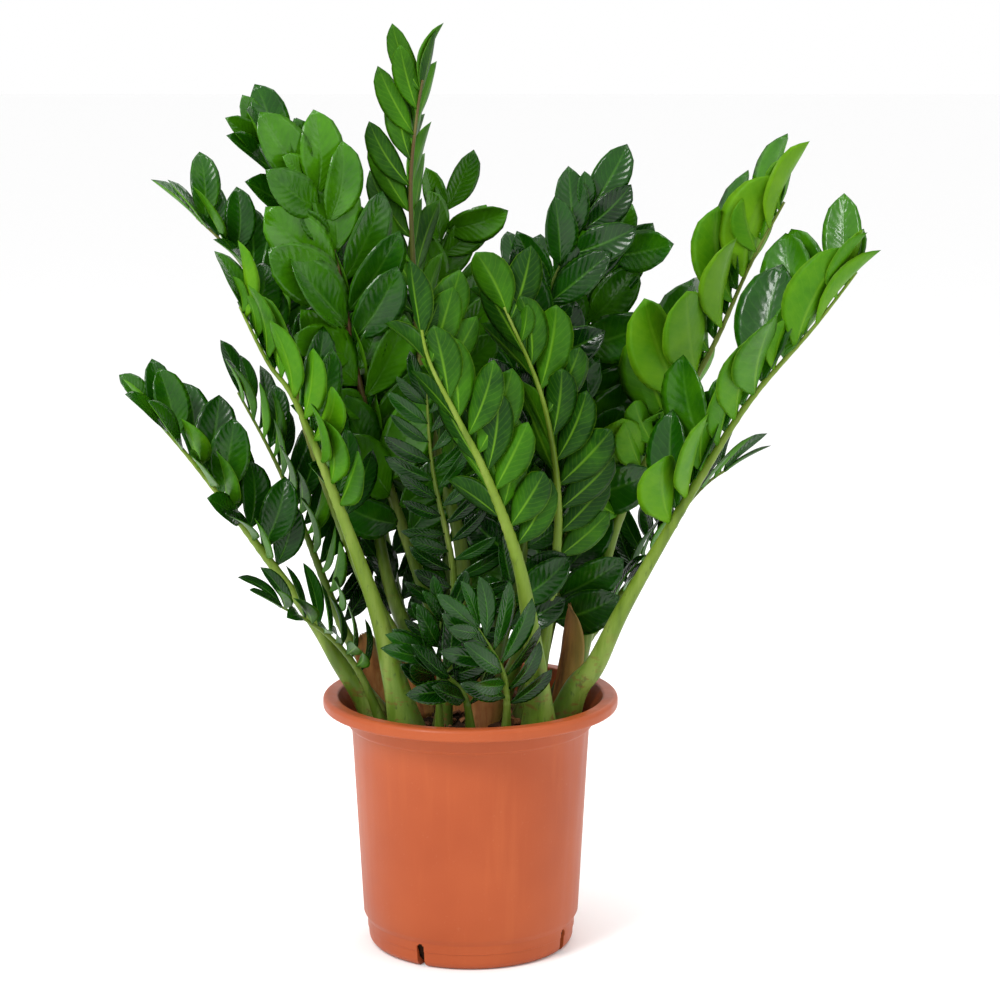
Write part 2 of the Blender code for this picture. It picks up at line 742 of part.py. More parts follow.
def main():
    clear_scene()
    build_pot(make_material("terracotta_plastic", (0.55, 0.13, 0.05), 0.42))
    build_tubers(make_material("tuber_skin", (0.42, 0.30, 0.16), 0.7))
    stems = [Stem(frond) for frond in FRONDS]
    by_name = {stem.frond.name: stem for stem in stems}
    build_soil(stems, make_material("dark_soil", (0.03, 0.02, 0.014), 0.95))

    crowd = Crowd()
    place_pot(crowd)
    place_stems(stems, crowd)
    brown = make_material("dry_sheath", (0.33, 0.15, 0.06), 0.7)
    for sheath in SHEATHS:
        place_sheath(sheath, by_name[sheath.frond], crowd)
        build_sheath(sheath, by_name[sheath.frond], brown)
    green = make_material("frond_green", (0.05, 0.22, 0.03), 0.3)
    for stem in stems:
        choices = [choose_leaflet(stem, place, crowd) for place in leaflet_places(stem.frond)]
        build_frond(stem, choices, green)


main()
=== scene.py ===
"""The looks of a potted ZZ plant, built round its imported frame.

Metres, +Z up, the frame's own origin: the centre of the pot's underside. -Y is the plant's front.
"""

import json
import math
import random
from dataclasses import dataclass

import bmesh
import bpy
from mathutils import Matrix, Vector, noise
from mathutils.bvhtree import BVHTree

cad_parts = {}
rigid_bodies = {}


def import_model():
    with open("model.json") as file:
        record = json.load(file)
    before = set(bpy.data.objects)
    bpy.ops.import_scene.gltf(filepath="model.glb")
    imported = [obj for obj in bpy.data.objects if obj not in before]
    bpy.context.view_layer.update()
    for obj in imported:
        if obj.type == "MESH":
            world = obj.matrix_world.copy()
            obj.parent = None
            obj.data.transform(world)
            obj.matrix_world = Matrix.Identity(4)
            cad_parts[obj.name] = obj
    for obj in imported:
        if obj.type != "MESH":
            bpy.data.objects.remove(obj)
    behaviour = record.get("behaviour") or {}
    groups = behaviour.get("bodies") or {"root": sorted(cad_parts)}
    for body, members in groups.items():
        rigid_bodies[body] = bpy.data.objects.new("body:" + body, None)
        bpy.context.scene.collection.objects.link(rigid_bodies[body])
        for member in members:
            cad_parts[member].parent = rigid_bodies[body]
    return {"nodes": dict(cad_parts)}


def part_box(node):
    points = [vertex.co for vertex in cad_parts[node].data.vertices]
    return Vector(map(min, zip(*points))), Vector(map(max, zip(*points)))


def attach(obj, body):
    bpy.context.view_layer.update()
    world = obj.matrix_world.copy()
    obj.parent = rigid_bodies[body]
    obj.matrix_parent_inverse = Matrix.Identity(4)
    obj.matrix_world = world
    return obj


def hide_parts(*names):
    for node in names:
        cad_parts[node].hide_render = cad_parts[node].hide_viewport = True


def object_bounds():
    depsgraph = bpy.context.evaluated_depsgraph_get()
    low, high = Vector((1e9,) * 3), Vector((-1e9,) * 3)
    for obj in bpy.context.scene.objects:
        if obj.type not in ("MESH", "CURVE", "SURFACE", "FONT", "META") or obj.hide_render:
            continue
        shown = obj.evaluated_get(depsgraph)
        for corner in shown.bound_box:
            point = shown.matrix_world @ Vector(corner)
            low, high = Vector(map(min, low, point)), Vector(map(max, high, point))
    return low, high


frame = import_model()
cad_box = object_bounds()

# Where the frame has the pot and the soil.
_, POT_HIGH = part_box("nursery_pot")
SOIL_LOW, SOIL_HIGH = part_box("potting_soil")
POT_HEIGHT = POT_HIGH.z
RIM_RADIUS = POT_HIGH.x
SOIL_RADIUS = SOIL_HIGH.x
SOIL_TOP = SOIL_HIGH.z - 0.003

# Pot's section, as in the frame.
RIM_LIP = 0.012
MOUTH_RADIUS = 0.125
SHOULDER_RADIUS = 0.1166
SHOULDER_BAND = 0.016
WAIST_RADIUS = 0.1135
TAPER_RADIUS = 0.103
TAPER_END = 0.030
FOOT_BAND_RADIUS = 0.0995
FOOT_BAND_TOP = 0.025
FOOT_RADIUS = 0.092
FOOT_CORNER = 0.008
WALL = 0.0019
FLOOR = 0.003
DRAIN_SLOT_WIDTH = 0.0075
DRAIN_SLOT_TOP = 0.023
DRAIN_SLOT_REACH = 0.022
DRAIN_SLOT_ROUNDING = 0.0018
FIRST_DRAIN_SLOT_DEG = -118.0
POT_SIDES = 160
TAPER_STEPS = 8
SHARP_DEG = 40

# Stems. FACE_LIFT tips a frond's face upward, and the collars are the swellings under the leaflets.
CURVE_STEPS = 16
STEM_STEPS = 80
STEM_SIDES = 16
CROWD_STEPS = 24
TANGENT_REACH = 0.03
TIP_RADIUS = 0.0011
STEM_TAPER = 1.5
FACE_LIFT = 0.55
BURIED_RINGS = 2
BURIED_STEP = 0.008
COLLAR_SWELL = 0.10
COLLAR_LENGTH = 0.0022
FOOT_SWELL = 0.45
SWELL_LENGTH = 0.09
LAST_LEAFLET = 0.93
STEM_END = 0.945

# Leaflets. Lengths are shares of the frond's own leaflet length.
LEAF_STEPS = 12
LEAF_HALF_STEPS = 4
PROXY_STEPS = 4
UPPER, UNDER = 0, 1
LEAFLET_SCALE = 1.12
SHORTEST_LEAFLET = 0.78
LEAFLET_BULGE = 0.30
HALF_WIDTH = 0.56
TWIST_DEG = 14
ROOT_REACH = 0.7
STRAIGHT_SHARE = 0.15
FRESHER_TOWARDS_TIP = 0.18
CUP_POWER = 1.6
RIPPLE_HEIGHT = 0.035
RIPPLE_WAVES = 9
RIB_HEIGHT = 0.0005
RIB_SHARPNESS = 5
FIRST_SEED = 1000
CROWN_WILDNESS = 0.3

# How far a leaflet's tip may pass the frame's box, as a share of that side.
BOX_MARGIN = 0.022

# Turns tried, in order, for a leaflet that would cross something: its angle from the stem, then its fold.
SWAYS_DEG = ((0, 0), (10, 0), (-10, 0), (0, 14), (0, -14), (20, 12), (-20, -12), (20, -12), (-20, 12))
CROWN_SWAYS_DEG = ((-24, -10), (-10, 10), (-34, 0), (0, 0), (10, 10))
SHRINKS = (1.0, 0.85, 0.7, 0.55)

# The soil's lumps: waves per metre, where the noise is read, and the height.
SOIL_LUMPS = ((28, 1.5, 0.0035), (90, 4.0, 0.0022), (260, 9.0, 0.0012))
SOIL_CROWN = 0.002
SOIL_EDGE_DROP = 0.003
SOIL_RINGS = 60
SOIL_SIDES = 200

# Chips of bark on the soil.
CHIP_COUNT = 420
CHIP_SEED = 77
SMALL_CHIP_SHARE = 0.85
LARGE_CHIP_SCALE = 1.7
CHIP_ROUGHNESS = 0.22

# Sheaths.
SHEATH_ROWS = 22
SHEATH_COLUMNS = 16
SHEATH_GAP = 0.0014
SHEATH_THICKNESS = 0.0005
SHEATH_FOOT_DROP = 0.004
SHEATH_CRINKLE = 0.0009
SHEATH_RAGGED = 0.004

# The faces of a leaflet: the colours from dark to fresh, the veins, and how the face takes the light.
LEAF_TOP = {
    "dark": (0.0012, 0.016, 0.0008), "middle": (0.008, 0.064, 0.0012), "bright": (0.052, 0.20, 0.002),
    "vein": (0.05, 0.17, 0.01), "roughness": 0.20, "relief": 0.6, "specular": 0.30
}
LEAF_UNDER = {
    "dark": (0.006, 0.040, 0.001), "middle": (0.045, 0.175, 0.001), "bright": (0.13, 0.30, 0.003),
    "vein": (0.12, 0.28, 0.01), "roughness": 0.44, "relief": 0.25, "specular": 0.12
}
SIDE_VEINS = 11.0
VEIN_SLANT = -2.6
VEIN_STRENGTH = 0.12

# The room. Each light: its place, its width and its power.
FLOOR_SIZE = 40
FLOOR_WHITE = (0.98, 0.98, 0.98, 1.0)
LIGHTS = {
    "key": ((-1.3, -1.6, 2.1), 0.8, 46),
    "top": ((0.25, 0.2, 2.4), 1.2, 18),
    "fill": ((1.9, -1.2, 1.3), 1.2, 6),
    "back": ((0.6, 1.9, 1.9), 1.3, 10),
}
LIT_POINT = Vector((0, 0, 0.45))
CAMERA_PLACE = (0.028, -2.6, 0.911)
CAMERA_DOWN_DEG = 10.506
LENS_MM = 101.4
SENSOR_MM = 36


@dataclass
class Frond:
    """A compound leaf, with the frame's own names and places.

    bare is the share of the stem below its first leaflet, leaflet is about how long the leaflets are, and
    slim their width over their length. fold_deg is how far the two ranks fold up to each other, and
    spread_deg is how wide the first and the last leaflets stand from the stem. From 0 to 1, fresh is how
    bright the leaflets are, brown is how brown the upper stem is, and tone is painted light on the stem:
    high for a lit pale green, low for a shaded dark green.
    """

    name: str
    foot: tuple
    radius: float
    facing_deg: float
    route: tuple
    bare: float
    pairs: int
    leaflet: float
    slim: float
    fold_deg: float
    spread_deg: tuple
    fresh: float
    brown: float
    tone: float


FRONDS = (
    # Left side.
    Frond(
        "frond_left_low", (-0.091, 0.004), 0.015, -30,
        ((-0.107, 0.004, 0.246), (-0.124, 0.004, 0.27), (-0.157, 0, 0.325), (-0.254, -0.01, 0.461),
         (-0.318, -0.01, 0.536)),
        0.43, 9, 0.062, 0.44, 50, (62, 40), 0.3, 0.0, 0.7
    ),
    Frond(
        "frond_left_thin", (-0.082, -0.036), 0.0075, 0,
        ((-0.105, -0.04, 0.275), (-0.137, -0.055, 0.316), (-0.182, -0.078, 0.349)),
        0.3, 7, 0.05, 0.28, 35, (74, 48), 0.1, 0.1, 0.3
    ),
    Frond(
        "frond_left_rear", (-0.082, 0.044), 0.011, -20,
        ((-0.104, 0.05, 0.262), (-0.127, 0.06, 0.3), (-0.184, 0.1, 0.434), (-0.236, 0.112, 0.532)),
        0.24, 12, 0.06, 0.32, 50, (66, 42), 0.12, 0.2, 0.2
    ),
    Frond(
        "frond_left_bright", (-0.058, -0.058), 0.019, -5,
        ((-0.072, -0.06, 0.28), (-0.092, -0.065, 0.357), (-0.153, -0.07, 0.522), (-0.184, -0.06, 0.569),
         (-0.22, -0.04, 0.638)),
        0.46, 10, 0.068, 0.42, 50, (58, 38), 0.32, 0.0, 0.7
    ),
    Frond(
        "frond_left_high", (-0.05, 0.002), 0.014, -30,
        ((-0.068, 0.012, 0.282), (-0.104, 0.03, 0.351), (-0.15, 0.055, 0.466), (-0.187, 0.08, 0.579),
         (-0.222, 0.088, 0.646), (-0.284, 0.095, 0.706)),
        0.32, 14, 0.068, 0.42, 46, (68, 42), 0.3, 0.6, 0.35
    ),
    Frond(
        "frond_tall_left", (-0.044, 0.04), 0.013, -45,
        ((-0.056, 0.048, 0.272), (-0.084, 0.062, 0.357), (-0.105, 0.062, 0.515), (-0.139, 0.05, 0.656),
         (-0.169, 0.04, 0.713), (-0.214, 0.02, 0.795)),
        0.32, 14, 0.074, 0.44, 38, (62, 40), 0.4, 0.9, 0.25
    ),
    Frond(
        "frond_tall_left_front", (-0.008, 0.056), 0.014, -70,
        ((-0.018, 0.05, 0.272), (-0.05, 0.036, 0.35), (-0.1, 0.012, 0.522), (-0.122, -0.002, 0.651),
         (-0.14, -0.012, 0.713), (-0.163, -0.03, 0.77)),
        0.3, 13, 0.078, 0.48, 26, (62, 40), 0.62, 0.9, 0.2
    ),
    # Middle.
    Frond(
        "frond_tallest", (-0.006, 0.012), 0.015, 125,
        ((-0.007, 0.018, 0.3), (-0.009, 0.02, 0.38), (-0.042, 0.02, 0.521), (-0.055, 0.03, 0.694),
         (-0.05, 0.038, 0.779), (-0.037, 0.045, 0.852)),
        0.3, 17, 0.066, 0.33, 40, (50, 32), 0.1, 0.8, 0.15
    ),
    Frond(
        "frond_behind_tallest", (-0.02, 0.09), 0.012, -60,
        ((-0.021, 0.1, 0.31), (-0.031, 0.125, 0.456), (-0.03, 0.13, 0.642), (-0.018, 0.12, 0.725)),
        0.18, 15, 0.066, 0.44, 30, (62, 42), 0.7, 0.2, 0.1
    ),
    Frond(
        "frond_ladder", (-0.026, -0.034), 0.01, -80,
        ((-0.018, -0.036, 0.3), (-0.016, -0.04, 0.372), (-0.034, -0.05, 0.468), (-0.04, -0.056, 0.556)),
        0.2, 14, 0.046, 0.25, 20, (80, 52), 0.05, 0.2, 0.3
    ),
    Frond(
        "frond_front_bright", (0.064, -0.06), 0.019, 60,
        ((0.06, -0.07, 0.29), (0.045, -0.085, 0.385), (0.017, -0.1, 0.467), (-0.011, -0.11, 0.526),
         (-0.036, -0.12, 0.58), (-0.044, -0.122, 0.628)),
        0.4, 12, 0.066, 0.42, 42, (56, 36), 0.04, 0.0, 0.9
    ),
    Frond(
        "frond_front_upright", (0.05, -0.014), 0.013, 60,
        ((0.068, -0.022, 0.29), (0.082, -0.04, 0.417), (0.069, -0.06, 0.526), (0.035, -0.072, 0.612),
         (0.02, -0.076, 0.64)),
        0.34, 11, 0.066, 0.44, 38, (58, 38), 0.02, 0.0, 0.75
    ),
    Frond(
        "frond_middle_right", (0.01, -0.042), 0.013, -70,
        ((0.028, -0.032, 0.3), (0.05, -0.018, 0.39), (0.056, -0.006, 0.506), (0.073, 0, 0.621),
         (0.1, 0, 0.677), (0.122, 0, 0.736)),
        0.17, 16, 0.068, 0.46, 34, (62, 42), 0.12, 0.2, 0.1
    ),
    # Right side.
    Frond(
        "frond_right_inner", (0.05, 0.022), 0.012, -80,
        ((0.072, 0.028, 0.29), (0.095, 0.038, 0.402), (0.099, 0.048, 0.534), (0.122, 0.05, 0.632),
         (0.152, 0.044, 0.68)),
        0.18, 15, 0.072, 0.48, 32, (62, 42), 0.45, 0.5, 0.15
    ),
    Frond(
        "frond_right_middle", (0.028, 0.05), 0.011, 190,
        ((0.044, 0.052, 0.262), (0.072, 0.048, 0.32), (0.133, 0.06, 0.427), (0.178, 0.05, 0.485),
         (0.222, 0.04, 0.534)),
        0.34, 11, 0.066, 0.44, 52, (62, 42), 0.25, 0.0, 0.55
    ),
    Frond(
        "frond_right_tall", (0.09, 0.012), 0.014, 176,
        ((0.1, 0.016, 0.262), (0.116, 0.02, 0.32), (0.14, 0.02, 0.406), (0.17, 0.012, 0.47),
         (0.225, 0.01, 0.569), (0.261, 0.012, 0.65), (0.306, 0.015, 0.734)),
        0.34, 13, 0.088, 0.52, 64, (60, 42), 0.5, 0.3, 0.45
    ),
    Frond(
        "frond_right_outer", (0.086, -0.028), 0.0165, 192,
        ((0.1, -0.032, 0.256), (0.118, -0.036, 0.28), (0.146, -0.042, 0.34), (0.215, -0.06, 0.467),
         (0.257, -0.068, 0.536), (0.314, -0.07, 0.604), (0.367, -0.066, 0.674)),
        0.4, 10, 0.088, 0.47, 66, (52, 36), 0.5, 0.0, 0.7
    ),
    Frond(
        "frond_right_low", (0.082, 0.048), 0.011, 200,
        ((0.1, 0.06, 0.262), (0.145, 0.084, 0.318), (0.219, 0.112, 0.413), (0.266, 0.124, 0.446)),
        0.2, 14, 0.058, 0.26, 36, (68, 46), 0.08, 0.3, 0.2
    ),
    # Short shoots in front.
    Frond(
        "shoot_front_left", (-0.028, -0.083), 0.0065, -60,
        ((-0.028, -0.086, 0.267), (-0.027, -0.091, 0.306), (-0.025, -0.096, 0.346)),
        0.34, 6, 0.05, 0.28, 26, (62, 44), 0.08, 0.0, 0.3
    ),
    Frond(
        "shoot_front_middle", (0.002, -0.088), 0.0075, -50,
        ((-0.004, -0.092, 0.262), (-0.022, -0.103, 0.287), (-0.043, -0.113, 0.312)),
        0.28, 5, 0.054, 0.3, 22, (62, 44), 0.1, 0.0, 0.3
    ),
    Frond(
        "shoot_front_right", (0.033, -0.085), 0.007, -70,
        ((0.034, -0.092, 0.264), (0.028, -0.106, 0.296), (0.004, -0.12, 0.34)),
        0.24, 6, 0.054, 0.28, 22, (62, 44), 0.1, 0.0, 0.35
    ),
    # Back.
    Frond(
        "frond_back_left", (-0.055, 0.074), 0.012, -60,
        ((-0.066, 0.09, 0.28), (-0.092, 0.14, 0.4), (-0.118, 0.205, 0.52), (-0.135, 0.25, 0.59)),
        0.16, 14, 0.064, 0.44, 44, (64, 42), 0.2, 0.3, 0.1
    ),
    Frond(
        "frond_back", (0.018, 0.09), 0.012, -95,
        ((0.024, 0.108, 0.29), (0.036, 0.15, 0.42), (0.046, 0.195, 0.54), (0.052, 0.245, 0.64)),
        0.16, 15, 0.064, 0.44, 44, (64, 42), 0.25, 0.3, 0.1
    ),
    Frond(
        "frond_back_right", (0.055, 0.073), 0.012, -130,
        ((0.068, 0.09, 0.28), (0.108, 0.14, 0.39), (0.15, 0.175, 0.49), (0.19, 0.205, 0.56)),
        0.16, 14, 0.064, 0.44, 44, (64, 42), 0.2, 0.3, 0.1
    ),
)

# Each dry sheath: its frond, height, the bearing of its middle, and how far it wraps.
SHEATHS = {
    "sheath_right": ("frond_right_tall", 0.105, 200, 190),
    "sheath_left": ("frond_left_rear", 0.070, -40, 170),
    "sheath_left_inner": ("frond_left_high", 0.058, -70, 160),
    "sheath_middle": ("frond_tallest", 0.044, -100, 170),
    "sheath_front": ("frond_middle_right", 0.036, -80, 160),
    "sheath_back": ("frond_back", 0.060, 90, 180),
}


# Shader building.

class Nodes:
    """Builds a Principled material node by node."""

    def __init__(self, name):
        self.material = bpy.data.materials.new(name)
        self.material.use_nodes = True
        self.tree = self.material.node_tree
        self.shader = self.tree.nodes["Principled BSDF"]

    def add(self, kind, **values):
        node = self.tree.nodes.new(kind)
        for key, value in values.items():
            if key in node.inputs.keys():
                node.inputs[key].default_value = value
            else:
                setattr(node, key, value)
        return node

    def link(self, source, target):
        self.tree.links.new(source, target)

    def set(self, **values):
        for key, value in values.items():
            self.shader.inputs[key.replace("_", " ")].default_value = value

    def finish(self, colour, rough, normal, specular=None):
        """Links what the shader shows and returns the material."""
        for name, source in (("Base Color", colour), ("Roughness", rough), ("Normal", normal)):
            self.link(source, self.shader.inputs[name])
        if specular is not None:
            self.set(Specular_IOR_Level=specular)
        return self.material

    def math(self, operation, first, second=None):
        node = self.add("ShaderNodeMath", operation=operation)
        for socket, value in zip(node.inputs, (first, second)):
            if value is None:
                continue
            if isinstance(value, (int, float)):
                socket.default_value = value
            else:
                self.link(value, socket)
        return node.outputs[0]

    def ramp(self, factor, *stops):
        """A colour ramp through (position, colour) stops."""
        node = self.add("ShaderNodeValToRGB")
        elements = node.color_ramp.elements
        while len(elements) < len(stops):
            elements.new(1.0)
        for element, (position, colour) in zip(elements, stops):
            element.position = position
            element.color = (*colour, 1.0)
        self.link(factor, node.inputs[0])
        return node.outputs[0]

    def mix(self, factor, first, second, blend_type="MIX"):
        node = self.add("ShaderNodeMix", data_type="RGBA", blend_type=blend_type)
        for socket, value in ((node.inputs[0], factor), (node.inputs[6], first), (node.inputs[7], second)):
            if isinstance(value, (int, float)):
                socket.default_value = value
            elif isinstance(value, tuple):
                socket.default_value = (*value, 1.0)
            else:
                self.link(value, socket)
        return node.outputs[2]

    def range(self, value, low, high, to_low=0.0, to_high=1.0):
        node = self.add("ShaderNodeMapRange")
        self.link(value, node.inputs[0])
        for socket, number in zip(list(node.inputs)[1:5], (low, high, to_low, to_high)):
            socket.default_value = number
        return node.outputs[0]

    def noise(self, scale, detail=3.0, roughness=0.5, vector=None, stretch=None):
        node = self.add("ShaderNodeTexNoise", Scale=scale, Detail=detail, Roughness=roughness)
        source = vector or self.add("ShaderNodeTexCoord").outputs["Object"]
        if stretch:
            mapping = self.add("ShaderNodeMapping", Scale=stretch)
            self.link(source, mapping.inputs["Vector"])
            source = mapping.outputs[0]
        self.link(source, node.inputs["Vector"])
        return node.outputs["Fac"]

    def bump(self, height, distance, strength=1.0, after=None):
        node = self.add("ShaderNodeBump", Distance=distance, Strength=strength)
        self.link(height, node.inputs["Height"])
        if after:
            self.link(after, node.inputs["Normal"])
        return node.outputs[0]

    def attribute(self, name):
        """The three numbers of a point attribute."""
        node = self.add("ShaderNodeAttribute", attribute_name=name)
        split = self.add("ShaderNodeSeparateXYZ")
        self.link(node.outputs["Vector"], split.inputs[0])
        return split.outputs


def leaf_material(name, dark, middle, bright, vein, roughness, relief, specular):
    """A leaflet's face. leaf_place holds the share along the midrib, the place across and the freshness."""
    nodes = Nodes(name)
    along, across, fresh = nodes.attribute("leaf_place")
    away = nodes.math("ABSOLUTE", across)
    mottle = nodes.noise(38.0, 4.0, 0.6)
    blend = nodes.math("ADD", fresh, nodes.range(mottle, 0.3, 0.7, -0.14, 0.14))
    blend = nodes.math("ADD", blend, nodes.range(along, 0.0, 1.0, 0.05, -0.05))
    colour = nodes.ramp(blend, (0.0, dark), (0.5, middle), (1.0, bright))
    midrib = nodes.range(away, 0.02, 0.10, 1.0, 0.0)
    midrib = nodes.math("MULTIPLY", midrib, nodes.range(along, 0.2, 1.0, 0.8, 0.15))
    slant = nodes.math("MULTIPLY", away, VEIN_SLANT)
    phase = nodes.math("ADD", nodes.math("MULTIPLY", along, SIDE_VEINS), slant)
    wobble = nodes.range(nodes.noise(60.0, 2.0), 0.3, 0.7, -0.25, 0.25)
    wave = nodes.math("SINE", nodes.math("MULTIPLY", nodes.math("ADD", phase, wobble), 2 * math.pi))
    side_vein = nodes.range(wave, 0.75, 1.0)
    veins = nodes.math("MAXIMUM", midrib, nodes.math("MULTIPLY", side_vein, VEIN_STRENGTH))
    colour = nodes.mix(veins, colour, vein)
    # Painted light: the rim is mixed towards the bright colour, standing in for light shining through the
    # thin leaf edge.
    edge = nodes.range(away, 0.93, 1.0, 0.0, 0.55)
    colour = nodes.mix(edge, colour, bright)
    rough = nodes.range(nodes.noise(90.0, 3.0), 0.3, 0.7, roughness - 0.05, roughness + 0.07)
    quilt = nodes.bump(wave, 0.00012, relief)
    ripple = nodes.bump(nodes.noise(150.0, 2.0, 0.5, stretch=(1.0, 1.0, 0.6)), 0.0005, relief, quilt)
    ridge = nodes.bump(midrib, 0.0004, 1.0, ripple)
    return nodes.finish(colour, rough, ridge, specular)


def stem_material():
    """stem_place holds the share along the stem, its painted light (high for a lit pale green, low for a
    shaded dark green) and how brown its upper part is.
    """
    nodes = Nodes("stem_skin")
    along, tone, brown = nodes.attribute("stem_place")
    # Painted light: the first ramp is the stem's green as lit, and the second is the same green in painted
    # shade. The frond's tone mixes them.
    pale = nodes.ramp(
        along, (0.0, (0.105, 0.20, 0.018)), (0.25, (0.155, 0.24, 0.022)), (1.0, (0.16, 0.24, 0.018))
    )
    shaded_olive = nodes.ramp(
        along, (0.0, (0.020, 0.048, 0.002)), (0.30, (0.04, 0.085, 0.004)), (1.0, (0.07, 0.15, 0.008))
    )
    green = nodes.mix(tone, shaded_olive, pale)
    upper = nodes.math("MULTIPLY", nodes.range(along, 0.30, 0.60), brown)
    green = nodes.mix(upper, green, (0.085, 0.030, 0.018))
    fibres = nodes.noise(60.0, 5.0, 0.6, stretch=(1.0, 1.0, 0.10))
    green = nodes.mix(nodes.range(fibres, 0.50, 0.66, 0.0, 0.40), green, (0.26, 0.33, 0.07))
    green = nodes.mix(nodes.range(fibres, 0.48, 0.34, 0.0, 0.55), green, (0.045, 0.085, 0.006))
    specks = nodes.noise(260.0, 2.0, 0.5, stretch=(1.0, 1.0, 0.45))
    dark = nodes.range(specks, 0.62, 0.72, 0.0, 0.7)
    dark = nodes.math("MULTIPLY", dark, nodes.range(along, 0.0, 0.5, 1.0, 0.3))
    green = nodes.mix(dark, green, (0.03, 0.06, 0.012))
    scars = nodes.range(nodes.noise(75.0, 3.0, 0.6, stretch=(1.0, 1.0, 2.2)), 0.56, 0.64)
    scars = nodes.math("MULTIPLY", scars, nodes.range(along, 0.02, 0.22, 0.75, 0.0))
    green = nodes.mix(scars, green, (0.16, 0.055, 0.018))
    foot = nodes.range(along, 0.0, 0.04, 0.55, 0.0)
    green = nodes.mix(foot, green, (0.10, 0.075, 0.03))
    rough = nodes.range(fibres, 0.3, 0.7, 0.30, 0.46)
    relief = nodes.bump(fibres, 0.0007, 0.6, nodes.bump(specks, 0.0002, 0.5))
    return nodes.finish(green, rough, relief, 0.22)


def pot_material():
    nodes = Nodes("terracotta_plastic")
    cloud = nodes.noise(9.0, 3.0, 0.5)
    colour = nodes.ramp(cloud, (0.3, (0.33, 0.060, 0.014)), (0.7, (0.385, 0.078, 0.020)))
    streaks = nodes.noise(55.0, 3.0, 0.6, stretch=(1.0, 1.0, 0.08))
    colour = nodes.mix(nodes.range(streaks, 0.55, 0.8, 0.0, 0.22), colour, (0.50, 0.13, 0.04))
    dust = nodes.noise(240.0, 2.0, 0.6)
    colour = nodes.mix(nodes.range(dust, 0.66, 0.80, 0.0, 0.16), colour, (0.50, 0.20, 0.11))
    rough = nodes.range(streaks, 0.3, 0.7, 0.36, 0.50)
    grain = nodes.bump(nodes.noise(700.0, 2.0, 0.5), 0.00012, 0.5)
    relief = nodes.bump(nodes.noise(16.0, 2.0, 0.5), 0.0009, 0.5, grain)
    return nodes.finish(colour, rough, relief, 0.25)


def soil_material():
    nodes = Nodes("potting_soil")
    crumbs = nodes.noise(130.0, 6.0, 0.7)
    colour = nodes.ramp(
        crumbs, (0.3, (0.006, 0.004, 0.003)), (0.55, (0.028, 0.014, 0.008)), (0.8, (0.10, 0.05, 0.025))
    )
    rough = nodes.range(crumbs, 0.2, 0.8, 1.0, 0.75)
    return nodes.finish(colour, rough, nodes.bump(crumbs, 0.004, 0.9), 0.08)


def bark_material():
    nodes = Nodes("bark_chip")
    tone = nodes.noise(45.0, 2.0, 0.5)
    colour = nodes.ramp(
        tone, (0.3, (0.03, 0.014, 0.008)), (0.5, (0.11, 0.045, 0.02)), (0.72, (0.32, 0.13, 0.045))
    )
    fibres = nodes.noise(240.0, 4.0, 0.6, stretch=(1.0, 0.2, 1.0))
    rough = nodes.range(fibres, 0.3, 0.7, 0.65, 0.9)
    return nodes.finish(colour, rough, nodes.bump(fibres, 0.001, 0.8), 0.15)


def sheath_material():
    """stem_place holds the share along the sheath and the place across it."""
    nodes = Nodes("dry_sheath")
    along, across, _ = nodes.attribute("stem_place")
    fibres = nodes.noise(110.0, 5.0, 0.65, stretch=(1.0, 1.0, 0.07))
    colour = nodes.ramp(
        fibres, (0.28, (0.11, 0.032, 0.008)), (0.5, (0.36, 0.13, 0.030)), (0.75, (0.52, 0.27, 0.085))
    )
    colour = nodes.mix(nodes.range(across, 0.1, 0.8, 0.0, 0.55), colour, (0.20, 0.22, 0.03))
    colour = nodes.mix(nodes.range(along, 0.6, 1.0, 0.0, 0.4), colour, (0.38, 0.20, 0.07))
    rough = nodes.range(fibres, 0.3, 0.7, 0.5, 0.78)
    return nodes.finish(colour, rough, nodes.bump(fibres, 0.0012, 0.8))


def tuber_material():
    nodes = Nodes("tuber_skin")
    skin = nodes.noise(60.0, 5.0, 0.6)
    colour = nodes.ramp(skin, (0.3, (0.22, 0.13, 0.06)), (0.7, (0.46, 0.33, 0.17)))
    rough = nodes.range(skin, 0.3, 0.7, 0.6, 0.8)
    return nodes.finish(colour, rough, nodes.bump(skin, 0.0015, 0.6))


# Meshes.

def add_object(name, data):
    obj = bpy.data.objects.new(name, data)
    bpy.context.scene.collection.objects.link(obj)
    return obj


def mesh_from(bm, name):
    mesh = bpy.data.meshes.new(name)
    bm.to_mesh(mesh)
    bm.free()
    return mesh


def make_piece(name, verts, faces, materials, replaced=(), face_materials=None, places=None):
    """A piece of the object: a smooth mesh that rides on the root body."""
    mesh = bpy.data.meshes.new(name)
    mesh.from_pydata([tuple(v) for v in verts], [], faces)
    for material in materials:
        mesh.materials.append(material)
    if face_materials:
        mesh.polygons.foreach_set("material_index", face_materials)
    if places:
        attribute = mesh.attributes.new(places[0], "FLOAT_VECTOR", "POINT")
        attribute.data.foreach_set("vector", [number for place in places[1] for number in place])
    mesh.shade_smooth()
    mesh.validate()
    finish_piece(add_object(name, mesh), replaced)


def finish_piece(obj, replaced=()):
    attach(obj, "root")
    if replaced:
        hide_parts(*replaced)


class Mesh:
    """Verts, faces and what goes with them, gathered before they become one piece."""

    def __init__(self):
        self.verts, self.faces, self.face_materials, self.places = [], [], [], []

    def add_verts(self, points, places):
        start = len(self.verts)
        self.verts.extend(points)
        self.places.extend(places)
        return start

    def add_face(self, corners, material=0):
        corners = list(dict.fromkeys(corners))
        if len(corners) > 2:
            self.faces.append(corners)
            self.face_materials.append(material)


def blend_values(table, at):
    """Reads a smooth curve through (place, value) points."""
    for (x0, y0), (x1, y1) in zip(table, table[1:]):
        if at <= x1:
            share = (at - x0) / (x1 - x0)
            share = share * share * (3 - 2 * share)
            return y0 + (y1 - y0) * share
    return table[-1][1]


